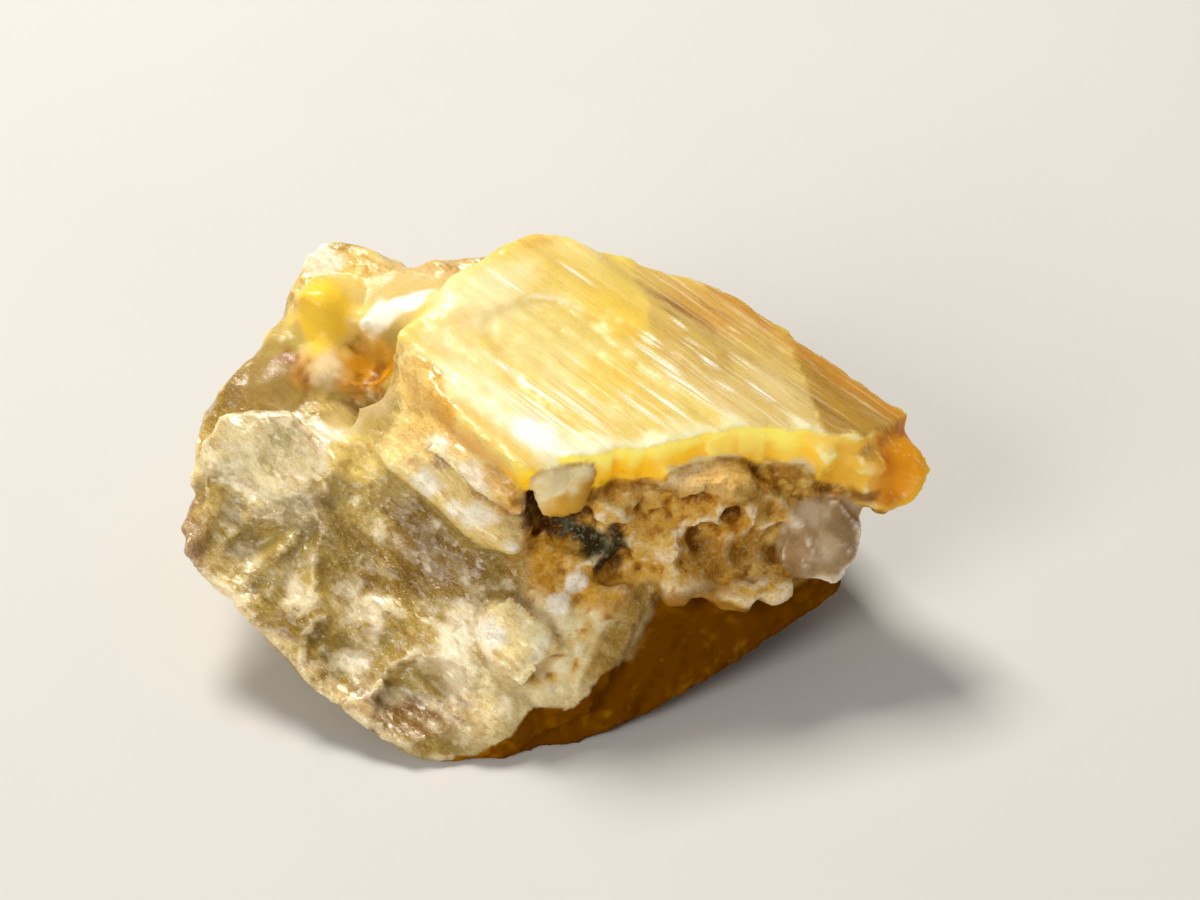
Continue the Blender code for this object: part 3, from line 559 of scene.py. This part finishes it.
        # deep brown in the larger hollows: iron staining darkened with painted shade
        lay((104, 58, 4), share * ramp(self.hollow[:, 1] + 0.5 * self.crumb, 0.6, 1.4) * 0.8)
        lay((150, 100, 18), s.spots((
            ((6.6, -4.0, 5.4), (1.7, 1.0, 0.9)), ((8.2, -3.3, 7.0), (0.6, 0.7, 0.6))), 0.6, 0.8)
            * share * 0.65)
        lay((244, 228, 194), s.spots((
            ((3.9, -4.4, 5.9), (0.7, 0.6, 0.4)), ((5.0, -5.1, 4.7), (1.5, 0.6, 0.4)),
            ((7.4, -5.0, 4.3), (1.3, 0.6, 0.4)), ((4.6, -2.9, 8.6), (0.8, 0.7, 0.4))), 0.5, 0.7)
            * share * 0.75)
        lay((234, 194, 120), s.spots((
            ((5.8, -3.7, 8.4), (1.2, 0.9, 0.5)), ((8.0, -3.4, 7.4), (0.6, 0.6, 0.5))), 0.5, 0.8)
            * share * 0.7)

    def rust(self):
        """Rust stains, and the dark crack under the pebble."""
        s, lay = self.stone, self.lay
        lay((208, 142, 10), s.spot((-7.0, 3.3, 8.6), (1.2, 1.2, 1.2), 0.4, 0.6) * 0.85)
        lay((208, 150, 14), s.spots((
            ((-9.3, 2.7, 8.5), (0.4, 0.9, 0.6)), ((-0.3, -4.4, 5.8), (0.9, 0.9, 1.3)),
            ((-1.2, -3.6, 8.6), (0.9, 0.7, 1.2)), ((1.6, -5.4, 4.9), (1.1, 0.8, 0.7))), 0.7, 0.8)
            * 0.7 * (1.0 - 0.6 * s.gold))
        lay((150, 84, 10), self.line(LEFT_CRACK, 0.05, 0.4, 0.2) * 0.8)
        lay((136, 80, 8), s.spots((
            ((-6.7, 2.6, 8.4), (0.6, 0.6, 0.6)), ((-9.2, 2.6, 8.4), (0.25, 0.6, 0.5)),
            ((-0.5, -4.3, 7.0), (0.9, 0.8, 1.3))), 0.6, 0.9) * ramp(self.crumb, -0.6, 0.5) * 0.85)
        crack = self.line(CRACK, 0.4, 1.1, 0.35) * (1.0 - s.gold)
        lay((88, 46, 6), crack * 0.9)
        green = np.maximum(crack * ramp(s.x + 0.4 * self.crumb, 0.1, 0.8),
                           s.spot((1.5, -4.1, 6.3), (0.7, 0.8, 0.8), 0.4, 0.6))
        lay((44, 44, 22), green * 0.9)
        lay((112, 118, 90), green * ramp(self.crumb + 0.4 * self.fine, 0.35, 0.7) * 0.75)

    def small_things(self):
        """White grains, the knob with its white cap, the glassy chunk, the quartz grain and the pebble."""
        s, lay = self.stone, self.lay
        lay((254, 248, 234), s.spots((
            ((0.8, -5.2, 5.2), (0.42, 0.45, 0.4)), ((0.3, -5.7, 4.6), (0.42, 0.45, 0.42))), 0.3, 0.5)
            * (1.0 - s.orange) * 0.9)
        lay((246, 214, 116), s.spot((-8.0, 5.6, 10.2), (2.4, 2.6, 1.8)) * 0.8)
        lay((214, 184, 116), s.spot((-5.2, 5.4, 10.5), (2.2, 2.2, 1.3), 0.4) * 0.85)
        lay((252, 208, 54), s.spot((-8.7, 4.6, 10.1), (1.1, 1.4, 1.3), 0.25, 0.2) * 0.9)
        lay((254, 250, 230), s.spots((
            ((-9.0, 7.2, 10.6), (0.9, 1.3, 0.7)), ((-6.8, 4.0, 10.3), (0.9, 0.8, 0.8)),
            ((-5.5, 4.5, 10.6), (0.9, 0.5, 0.5))), 0.3, 0.6) * 0.95)
        lay((246, 228, 168), s.chunk * 0.9)
        lay((255, 252, 242), s.chunk * ramp(self.blade + 0.7 * self.fine, -0.1, 0.5) * 0.85)
        lay((255, 250, 226), s.chunk * ramp(s.x, -1.4, -0.6) * ramp(self.fine, -0.6, 0.2) * 0.8)
        # painted glow: amber along the chunk's right-hand edges
        lay((238, 192, 70), s.chunk * ramp(self.edge, 0.7, 1.3) * ramp(s.x, -1.7, -0.9) * 0.6)
        lay((172, 140, 96), s.grain)
        lay((220, 198, 164), s.grain * ramp(self.mottle + 0.5 * self.fine, -0.1, 0.6) * 0.7)
        lay((146, 112, 72), s.grain * ramp(-self.mottle + 0.6 * self.crumb, 0.2, 0.8) * 0.6)
        # painted highlight: pale on the grain's standing edges
        lay((250, 240, 222), s.grain * ramp(self.edge + 0.5 * self.crumb, 0.5, 1.2) * 0.8)
        lay((238, 204, 124), s.pebble)
        # painted light and shade on the pebble: paler on its upper left, deeper amber below, darker round
        # its rim
        lit_upper = ramp(s.z - 0.6 * s.x + 0.4 * self.fine, 8.0, 8.7)
        lay((255, 238, 190), s.pebble * lit_upper * ramp(self.cloud + self.fine, -0.8, 0.3) * 0.85)
        lay((214, 156, 26), s.pebble * (1.0 - lit_upper) * 0.85)
        lay((150, 92, 8), s.pebble * (1.0 - ramp(s.dome, 0.2, 0.5)) * 0.7)

    def crystal(self):
        """Golden crystal, from its white front end to its brown far end."""
        s, lay, gold = self.stone, self.lay, self.stone.gold
        lay((226, 198, 98), np.minimum(2.0 * gold, 1.0))
        lay((240, 226, 158), gold * ramp(self.cloud + 0.3 * self.silk, -0.5, 0.6) * 0.7)
        sheet = gold * s.plate(SHEET, 0.06)
        lay((228, 206, 118), sheet * 0.8)
        lay((240, 222, 150), sheet * ramp(self.cloud + 0.3 * self.fine, -0.3, 0.5) * 0.6)
        # painted highlight: a pale rim along the sheet's edge
        sheet_rim_highlight = s.plate(SHEET, 0.16, 0.16) * (1.0 - s.plate(SHEET, 0.05))
        lay((254, 250, 230), gold * sheet_rim_highlight * ramp(s.ragged + self.fine, -0.3, 0.9) * 0.7)
        lay((252, 244, 204), gold * s.patch((-4.8, -1.0), (1.6, 2.8), 0.7) * 0.8)
        lay((252, 241, 196), gold * s.patch((-1.4, -5.0), (2.4, 1.1), 0.8) * 0.6)
        lay((208, 170, 80), gold * s.patch((2.6, -5.8), (1.7, 0.7), 0.5)
            * ramp(self.silk + self.mottle, -0.6, 0.4) * 0.7)
        lay((254, 248, 222), gold * s.patch((-4.6, 2.6), (1.1, 1.4), 0.6, 0.7) * 0.85)
        lay((244, 206, 84), gold * s.patch((-3.7, -0.4), (1.0, 2.8), 0.8)
            * ramp(self.silk, -0.4, 0.3) * 0.75)
        lay((238, 194, 64), gold * s.patch((-2.0, 3.0), (1.1, 1.6), 0.7) * ramp(self.silk, -0.1, 0.5) * 0.7)
        lay((240, 204, 70), gold * s.patch((1.6, -0.7), (1.2, 1.5), 0.8) * 0.6)
        lay((240, 202, 74), gold * s.patch((-1.2, 1.0), (1.2, 0.9), 0.6) * 0.65)
        second = gold * s.plate(SECOND, 0.12, 0.1 * self.fine)
        lay((208, 174, 92), second * 0.85)
        lay((236, 216, 156), second * ramp(self.cloud + 0.4 * self.silk - 0.3 * s.across, -1.2, 0.2) * 0.7)
        lay((186, 144, 62), second * ramp(self.silk + 0.5 * self.mottle, 0.0, 0.9) * 0.55)
        for centre, length in BROWN_STREAKS:
            lay((146, 100, 30), second * self.streak(centre, length, 0.2) * 0.8)
        lay((200, 136, 44), gold * s.patch((4.6, 0.8), (0.8, 1.6), 0.6) * 0.5)
        # painted sheen: the bright streaks on the crystal's top, turned white in the material
        self.streaks = np.zeros(len(s.p))
        for across, along, width, length in SHEEN_STREAKS:
            self.streaks = np.maximum(self.streaks, gold * self.streak((across, along), length, width))
        near_end = s.along - np.interp(s.across, *np.array(FRONT_END).T)
        # painted highlight: near-white on the front-left end of the crystal's top and along its broken front
        # edge
        lay((255, 253, 248), gold * s.patch((-5.1, 1.0), (0.7, 1.0), 0.5, 0.6) * 0.95)
        lay((255, 248, 212), gold * ramp(near_end + 0.9 * self.silk + 0.5 * s.ragged, -1.2, 0.0)
            * ramp(-s.across, -4.4, -3.2) * 0.7)
        far = gold * s.plate(FAR, 0.12, 0.1 * self.fine)
        lay((176, 134, 46), far * 0.95)
        lay((128, 88, 22), far * ramp(self.silk, -0.1, 0.7) * 0.65)
        lay((226, 194, 108), far * ramp(self.silk + 0.3 * self.fine, 0.5, 0.95) * 0.7)
        lay((196, 132, 34), gold * ramp(s.across + 0.2 * self.fine, 5.3, 6.0)
            * ramp(s.along, -0.5, 0.5) * 0.6)
        lay((234, 180, 44), gold * s.patch((-6.0, -0.2), (0.6, 2.4), 0.8, 0.8) * 0.7)

    def broken_end(self):
        """The crystal's broken end: glowing yellow, then amber columns and the orange tip."""
        s, lay, gold = self.stone, self.lay, self.stone.gold
        front = (np.minimum(2.0 * gold, 1.0) * ramp(-(s.n @ OUT) + 0.1 * self.fine, -0.9, -0.55)
                 * ramp(-s.y, 0.8, 1.6))
        front *= ramp(s.x + 0.4 * s.ragged, -2.0, -0.6)
        lay((255, 212, 30), front * 0.95)
        lay((255, 238, 150), front * ramp(s.x + 0.4 * s.ragged, 5.6, 6.4) * ramp(-s.x, -9.4, -8.4) * 0.65)
        # painted light and shade: each column paler or deeper by how far it stands out
        lay((255, 244, 160), front * ramp(s.facet, 0.02, 0.2) * 0.6)
        lay((240, 178, 14), front * ramp(-s.facet, 0.02, 0.2) * 0.5)
        # painted glow: paler along the top of the broken end, deeper amber lower down
        lay((255, 240, 150), front * ramp(s.out + 0.35 * self.fine, -0.9, -0.3) * 0.7)
        lay((255, 236, 120), front * ramp(self.mottle + 0.5 * self.fine, 0.1, 0.7) * 0.6)
        lay((250, 190, 20), front * ramp(-s.out + 0.2 * self.fine, 0.9, 1.5) * 0.6)
        lay((244, 184, 0), front * ramp(-s.out + 0.2 * self.fine, 0.5, 1.1) * ramp(-s.x, -4.6, -3.4) * 0.75)
        lay((238, 194, 84), front * ramp(s.x, 8.6, 9.6) * 0.7)
        # painted highlights on the edges of the columns
        lay((255, 246, 206), front * ramp(s.x, 9.0, 9.6)
            * ramp(self.edge + 0.4 * self.fine, 0.2, 0.9) * 0.8)
        tip = gold * ramp(s.x + 0.3 * s.ragged, 11.0, 12.2) * ramp(-s.z, -8.9, -8.2)
        lay((230, 152, 0), tip * 0.95)
        low = ramp(-s.out + 0.3 * self.fine, 1.35, 1.6) * ramp(-s.x, -10.4, -9.6)
        lay((164, 96, 10), front * low * ramp(self.crumb, -0.1, 0.5) * 0.6)
        seam = (4.0 * gold * (1.0 - gold) * ramp(-s.y, 0.8, 1.6)
                * ramp(-s.x, -11.0, -10.0) * ramp(s.x, -1.0, -0.2))
        lay((168, 108, 14), seam * ramp(self.fine + 0.4 * self.crumb, -0.7, 0.3) * 0.85)
        lay((120, 56, 12), s.spot((11.4, -2.4, 6.9), (0.5, 0.6, 0.25), 0.4, 0.6) * 0.9)
        self.glow = front * (1.0 - 0.75 * ramp(s.x, 9.0, 11.0))
        threads = np.maximum(s.patch((-3.4, 2.4), (3.2, 3.4), 0.5), s.patch((0.6, 3.6), (1.2, 3.4), 0.5))
        threads = np.maximum(threads, np.maximum(0.7 * s.plate(SECOND, 0.3), 0.55 * s.plate(FAR, 0.3)))
        self.threads = gold * np.maximum(threads, 0.25) * ramp(s.n @ OUT, 0.5, 0.8)


# ---------------------------------------------------------------- the dressed stone

def pick(thing):
    bpy.ops.object.select_all(action="DESELECT")
    thing.select_set(True)
    bpy.context.view_layer.objects.active = thing


def finish_modifier(thing, modifier):
    pick(thing)
    bpy.ops.object.modifier_apply(modifier=modifier.name)


def drop_crumbs(form):
    """Deletes the specks that the even grid left apart from the stone."""
    pick(form)
    bpy.ops.object.mode_set(mode="EDIT")
    bpy.ops.mesh.select_mode(type="VERT")
    bpy.ops.mesh.select_all(action="DESELECT")
    bpy.ops.object.mode_set(mode="OBJECT")
    max(form.data.vertices, key=lambda corner: corner.co.z).select = True
    bpy.ops.object.mode_set(mode="EDIT")
    bpy.ops.mesh.select_linked()
    bpy.ops.mesh.select_all(action="INVERT")
    bpy.ops.mesh.delete(type="VERT")
    bpy.ops.object.mode_set(mode="OBJECT")


def plain_form(name):
    """The solid's form on an even grid, its small triangles smoothed away and its sharp edges kept."""
    mesh = frame["nodes"][NODE].data.copy()
    mesh.materials.clear()
    form = bpy.data.objects.new(name, mesh)
    bpy.context.scene.collection.objects.link(form)
    shape = bmesh.new()
    shape.from_mesh(mesh)
    bmesh.ops.remove_doubles(shape, verts=shape.verts, dist=0.001 * MM)
    crease = shape.edges.layers.float.get("crease_edge") or shape.edges.layers.float.new("crease_edge")
    for edge in shape.edges:
        if len(edge.link_faces) == 2 and edge.calc_face_angle() > CREASE_ANGLE:
            edge[crease] = 0.9
    shape.to_mesh(mesh)
    shape.free()
    rounder = form.modifiers.new("rounder", "SUBSURF")
    rounder.levels = rounder.render_levels = 2
    finish_modifier(form, rounder)
    even = form.modifiers.new("even", "REMESH")
    even.mode = "VOXEL"
    even.voxel_size = GRID * MM
    finish_modifier(form, even)
    drop_crumbs(form)
    return form


def read(collection, field, width=3):
    values = np.empty(len(collection) * width)
    collection.foreach_get(field, values)
    return values.reshape(-1, width)


def dress(form):
    """Gives the form its relief and writes down its colour and which finish each place has."""
    mesh = form.data
    edges = np.empty(len(mesh.edges) * 2, dtype=np.int64)
    mesh.edges.foreach_get("vertices", edges)
    edges = edges.reshape(-1, 2)
    points, normals = read(mesh.vertices, "co") / MM, read(mesh.vertices, "normal")
    above_base = ramp(points[:, 2], 0.02, 0.4)  # the resting face stays flat
    crisper = -0.7 * hollow_depth(points, normals, edges, 16)
    points = points + normals * (above_base * np.clip(crisper, *CRISPER))[:, None]
    for middle, rounds in WORN:
        share = around(points, middle, 0.7, 1.3)
        points = points + (eased(points, edges, rounds) - points) * share[:, None]
    healed = np.max([around(points, middle, 0.55 * reach, reach) for middle, reach in HEALED], axis=0)
    points = points + (eased(points, edges, HEALING) - points) * healed[:, None]
    plates = ramp(-line_distance(points, PLATES_MIDDLE), -1.7, -1.2)
    plates *= ramp((points - FACE_CENTRE) @ FACE_NORMAL, 0.6, 1.1)
    plates = np.maximum(plates, around(points, NOTCH, 1.0, 1.7))
    for _ in range(3):
        joint = hollow_depth(points, normals, edges, 30)
        points = points + normals * (plates * np.clip(joint, 0.0, FILLING))[:, None]
    for corners in BLOCKS:
        points = on_block(points, normals, corners)
    stone = Stone(points, normals)
    relief = stone.relief() * (1.0 - 0.7 * healed * stone.smoke)
    points = points + normals * above_base[:, None] * eased(relief[:, None], edges, 2)
    points = np.clip(points, np.array(CAD_BOX[0]) / MM, np.array(CAD_BOX[1]) / MM)
    mesh.vertices.foreach_set("co", (points * MM).ravel())
    mesh.update()

    normals = read(mesh.vertices, "normal")
    depths = [hollow_depth(points, normals, edges, rounds) / full for rounds, full in HOLLOWS]
    hollow = np.stack(depths, axis=1)
    calm = np.maximum(healed, stone.spots(CALM))
    matt = 0.55 * calm * stone.smoke
    stone.n, stone.smoke = normals, stone.smoke * (1.0 - 0.85 * calm)
    paint = Paint(stone, hollow)
    shade = mesh.attributes.new("tint", "FLOAT_COLOR", "POINT")
    opaque = np.hstack((paint.colour, np.ones((len(points), 1))))
    shade.data.foreach_set("color", opaque.astype(np.float32).ravel())
    dull = 0.85 * stone.crust + stone.orange + 0.3 * stone.sugar + 0.6 * stone.pebble + matt
    shares = {
        "gold": stone.gold, "crust": stone.crust + 0.25 * stone.sugar,
        "smoke": stone.smoke * (1.0 - 0.5 * stone.sugar), "dull": np.clip(dull, 0.0, 1.0),
        "glow": paint.glow, "threads": paint.threads, "streaks": paint.streaks,
    }
    for name, share in shares.items():
        layer = mesh.attributes.new(name, "FLOAT", "POINT")
        layer.data.foreach_set("value", share.astype(np.float32))


# ---------------------------------------------------------------- materials

class Value:
    """A number in a material. Python's arithmetic on it adds Math nodes."""

    def __init__(self, finish, socket):
        self.finish, self.socket = finish, socket

    def maths(self, operation, first, second):
        return self.finish.value("ShaderNodeMath", {"operation": operation}, {0: first, 1: second})

    def __add__(self, other):
        return self.maths("ADD", self, other)

    def __mul__(self, other):
        return self.maths("MULTIPLY", self, other)

    def __sub__(self, other):
        return self.maths("SUBTRACT", self, other)

    def __rsub__(self, other):
        return self.maths("SUBTRACT", other, self)

    __radd__ = __add__
    __rmul__ = __mul__


class Finish:
    """A material under construction."""

    def __init__(self, name):
        self.material = bpy.data.materials.new(name)
        self.material.use_nodes = True
        self.tree = self.material.node_tree
        self.tree.nodes.clear()

    def node(self, kind, settings=None, inputs=None):
        """Adds a node: its settings first, then the values or links of its sockets."""
        made = self.tree.nodes.new(kind)
        for key, setting in (settings or {}).items():
            setattr(made, key, setting)
        for key, given in (inputs or {}).items():
            given = given.socket if isinstance(given, Value) else given
            if isinstance(given, bpy.types.NodeSocket):
                self.tree.links.new(given, made.inputs[key])
            else:
                made.inputs[key].default_value = given
        return made

    def value(self, kind, settings=None, inputs=None, output=0):
        return Value(self, self.node(kind, settings, inputs).outputs[output])

    def attribute(self, name):
        return self.value("ShaderNodeAttribute", {"attribute_name": name}, output="Fac")

    def between(self, value, low, high):
        """0 below low, 1 above high, and smooth between them."""
        inputs = {"Value": value, "From Min": low, "From Max": high}
        return self.value("ShaderNodeMapRange", {"interpolation_type": "SMOOTHSTEP"}, inputs, "Result")

    def vector(self, operation, **inputs):
        sockets = {int(key[1:]) if key[0] == "v" else key.title(): given for key, given in inputs.items()}
        return self.node("ShaderNodeVectorMath", {"operation": operation}, sockets).outputs["Vector"]

    def dot(self, place, axis):
        inputs = {0: place, 1: tuple(axis / MM)}
        return self.value("ShaderNodeVectorMath", {"operation": "DOT_PRODUCT"}, inputs, "Value")

    def combine(self, x, y, z):
        return self.node("ShaderNodeCombineXYZ", None, {0: x, 1: y, 2: z}).outputs[0]

    def fog(self, place, scale, detail=3.0, rough=0.55):
        """Smooth chance from 0 to 1."""
        inputs = {"Vector": place, "Scale": scale, "Detail": detail, "Roughness": rough}
        return self.value("ShaderNodeTexNoise", None, inputs, "Fac")

    def cells(self, place, scale):
        """Small cells, each with a chance colour."""
        return self.node("ShaderNodeTexVoronoi", None, {"Vector": place, "Scale": scale})

    def mix(self, share, first, second, blend="MIX"):
        settings = {"data_type": "RGBA", "blend_type": blend}
        return self.node("ShaderNodeMix", settings, {0: share, 6: first, 7: second}).outputs[2]


def tone(red, green, blue):
    return (*linear(red, green, blue), 1.0)


def stone_finish():
    """Adds the finest grain, silk, painted sheen streaks and painted glints to the stone's painted colour.
    """
    f = Finish("richterite_stone")
    gold, crust, smoke, dull = (f.attribute(name) for name in ("gold", "crust", "smoke", "dull"))
    glow, threads, streaks = (f.attribute(name) for name in ("glow", "threads", "streaks"))
    colour = f.node("ShaderNodeAttribute", {"attribute_name": "tint"}).outputs["Color"]
    place = f.node("ShaderNodeTexCoord").outputs["Object"]
    along, across, out = (f.dot(place, axis) for axis in (ALONG, ACROSS, OUT))
    fibres = f.combine(along * 0.03, across, out)
    blades = f.combine(along * 0.4, across, out)

    thread = f.fog(fibres, 2.6, 4.0, 0.6)
    hair = f.fog(fibres, 8.0, 3.0, 0.6)
    cloud = f.fog(blades, 1.3, 3.0, 0.5)
    speck = f.fog(blades, 8.0, 3.0, 0.6)
    pale = f.mix(0.7, colour, tone(255, 247, 222))
    veil = f.mix(0.6, colour, tone(255, 236, 178))
    deep = f.mix(1.0, colour, tone(228, 188, 112), "MULTIPLY")
    grain = f.fog(place, 7.0 / MM, 4.0)
    sand = f.fog(place, 13.0 / MM, 2.0)
    shaded = f.between(thread, 0.5, 0.34) * threads * 0.35 + f.between(speck, 0.48, 0.34) * smoke * 0.3
    shaded = shaded + f.between(sand, 0.5, 0.36) * smoke * 0.3
    shaded = shaded + f.between(grain, 0.48, 0.36) * crust * 0.5
    colour = f.mix(shaded, colour, deep)
    lit = f.between(hair, 0.52, 0.66) * threads * 0.6 + f.between(grain, 0.54, 0.68) * crust * 0.25
    colour = f.mix(lit, colour, pale)
    lit = (f.between(speck, 0.56, 0.7) * 0.2 + f.between(sand, 0.54, 0.68) * 0.3) * smoke
    colour = f.mix(lit, colour, veil)
    # painted sheen: white streaks on the crystal's top
    colour = f.mix(f.between(hair, 0.42, 0.54) * streaks * 0.9, colour, tone(255, 252, 240))

    # broken cells that each catch the light their own way, each also painted a little darker or paler as
    # painted shade and light, and some painted white as glints
    half = (0.5, 0.5, 0.5)
    wide, small = f.cells(blades, 2.6), f.cells(blades, 6.5)
    glint = f.between(f.fog(blades, 15.0, 2.0, 0.7), 0.62, 0.7) * f.between(cloud, 0.36, 0.56)
    facet = (f.dot(wide.outputs["Color"], np.array((0.0, 0.6 * MM, 0.0)))
             + f.dot(small.outputs["Color"], np.array((0.0, 0.4 * MM, 0.0))))
    colour = f.mix(f.between(facet, 0.5, 0.2) * smoke * 0.25, colour, deep)
    colour = f.mix(f.between(facet, 0.6, 0.9) * smoke * 0.2, colour, veil)
    colour = f.mix(glint * smoke * 0.8, colour, tone(255, 249, 230))
    tilt = f.vector("SCALE", v0=f.vector("SUBTRACT", v0=wide.outputs["Color"], v1=half), scale=0.6)
    tilt = f.vector("ADD", v0=tilt, v1=f.vector("SUBTRACT", v0=small.outputs["Color"], v1=half))
    tilt = f.vector("SCALE", v0=tilt, scale=smoke * 0.45 + gold * 0.08 + crust * 0.15)
    normal = f.node("ShaderNodeNewGeometry").outputs["Normal"]
    normal = f.vector("NORMALIZE", v0=f.vector("ADD", v0=normal, v1=tilt))
    height = (thread * 0.5 + hair * 0.4) * threads + grain * (crust * 1.2 + 0.2)
    bump = {"Height": height, "Strength": 0.5, "Distance": 0.08 * MM, "Normal": normal}
    normal = f.node("ShaderNodeBump", None, bump).outputs["Normal"]

    crystal = f.node("ShaderNodeBsdfPrincipled", None, {
        "Base Color": colour, "Roughness": f.between(speck, 0.3, 0.7) * 0.25 + 0.22,
        "Normal": normal, "IOR": 1.62,
        "Specular IOR Level": 0.25, "Subsurface Weight": 0.75, "Subsurface Radius": (1.0, 0.66, 0.16),
        "Subsurface Scale": 2.2 * MM, "Emission Strength": 0.22,
        "Emission Color": f.mix(glow, (0.0, 0.0, 0.0, 1.0), tone(255, 218, 0)),
    })
    glass = f.node("ShaderNodeBsdfPrincipled", None, {
        "Base Color": colour, "Roughness": f.between(speck, 0.3, 0.7) * 0.25 + 0.18,
        "Normal": normal, "IOR": 1.6,
        "Specular IOR Level": 0.33, "Subsurface Weight": 0.5, "Subsurface Radius": (1.0, 0.7, 0.3),
        "Subsurface Scale": 0.8 * MM, "Coat Weight": smoke * 0.2, "Coat Roughness": 0.1,
    })
    stony = f.node("ShaderNodeBsdfPrincipled", None, {
        "Base Color": colour, "Roughness": f.between(speck, 0.3, 0.7) * 0.2 + 0.6,
        "Normal": normal, "IOR": 1.5,
        "Specular IOR Level": 0.0,
    })
    clear = f.node("ShaderNodeMixShader", None, {0: gold, 1: glass.outputs[0], 2: crystal.outputs[0]})
    both = f.node("ShaderNodeMixShader", None, {0: dull, 1: clear.outputs[0], 2: stony.outputs[0]})
    f.node("ShaderNodeOutputMaterial", None, {"Surface": both.outputs[0]})
    return f.material


def dressed_stone():
    stone = plain_form("richterite_stone")
    dress(stone)
    pick(stone)
    bpy.ops.object.shade_smooth_by_angle(angle=math.radians(35.0))
    stone.data.materials.append(stone_finish())
    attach(stone, "root")
    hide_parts(NODE)


# ---------------------------------------------------------------- studio

def floor():
    bpy.ops.object.select_all(action="DESELECT")
    bpy.ops.mesh.primitive_grid_add(x_subdivisions=4, y_subdivisions=4, size=1.2, location=(0, 0, 0))
    ground = bpy.context.object
    ground.name = "studio_floor"
    f = Finish("pale_paper")
    place = f.node("ShaderNodeTexCoord").outputs["Object"]
    tone_of_paper = f.mix(f.fog(place, 60.0), (0.62, 0.61, 0.59, 1.0), (0.66, 0.65, 0.63, 1.0))
    surface = f.node("ShaderNodeBsdfPrincipled", None, {"Base Color": tone_of_paper, "Roughness": 0.85})
    f.node("ShaderNodeOutputMaterial", None, {"Surface": surface.outputs[0]})
    ground.data.materials.append(f.material)


def lamp(name, towards, distance, size, power, colour):
    """A soft square lamp aimed at the middle of the specimen."""
    light = bpy.data.lights.new(name, "AREA")
    light.shape, light.size, light.energy, light.color = "SQUARE", size, power, colour
    holder = bpy.data.objects.new(name, light)
    bpy.context.scene.collection.objects.link(holder)
    aim = Vector(towards).normalized()
    holder.location = Vector((0.0, 0.0, 0.006)) + aim * distance
    holder.rotation_euler = aim.to_track_quat("Z", "Y").to_euler()


def studio():
    floor()
    lamp("key_lamp", (-0.30, 0.50, 0.85), 0.30, 0.09, 0.93, (1.0, 0.96, 0.88))
    lamp("fill_lamp", (-0.60, -0.70, 0.6), 0.40, 0.18, 0.74, (1.0, 0.96, 0.90))
    world = bpy.data.worlds.new("studio_air")
    bpy.context.scene.world = world
    world.use_nodes = True
    world.node_tree.nodes["Background"].inputs["Color"].default_value = (1.0, 0.98, 0.95, 1.0)
    world.node_tree.nodes["Background"].inputs["Strength"].default_value = 0.22
    bpy.context.scene.view_settings.view_transform = "Standard"


def camera():
    """Looks down on the front of the specimen at 40 degrees."""
    lens = bpy.data.cameras.new("camera")
    lens.lens, lens.sensor_width, lens.clip_start = 100.0, 36.0, 0.005
    holder = bpy.data.objects.new("camera", lens)
    bpy.context.scene.collection.objects.link(holder)
    elevation, distance = math.radians(40.0), 125.0
    back = Vector((0.0, -math.cos(elevation), math.sin(elevation)))
    holder.location = (Vector((1.7, 1.3, 6.0)) + back * distance) * MM
    holder.rotation_euler = back.to_track_quat("Z", "Y").to_euler()
    bpy.context.scene.camera = holder


dressed_stone()
studio()
camera()
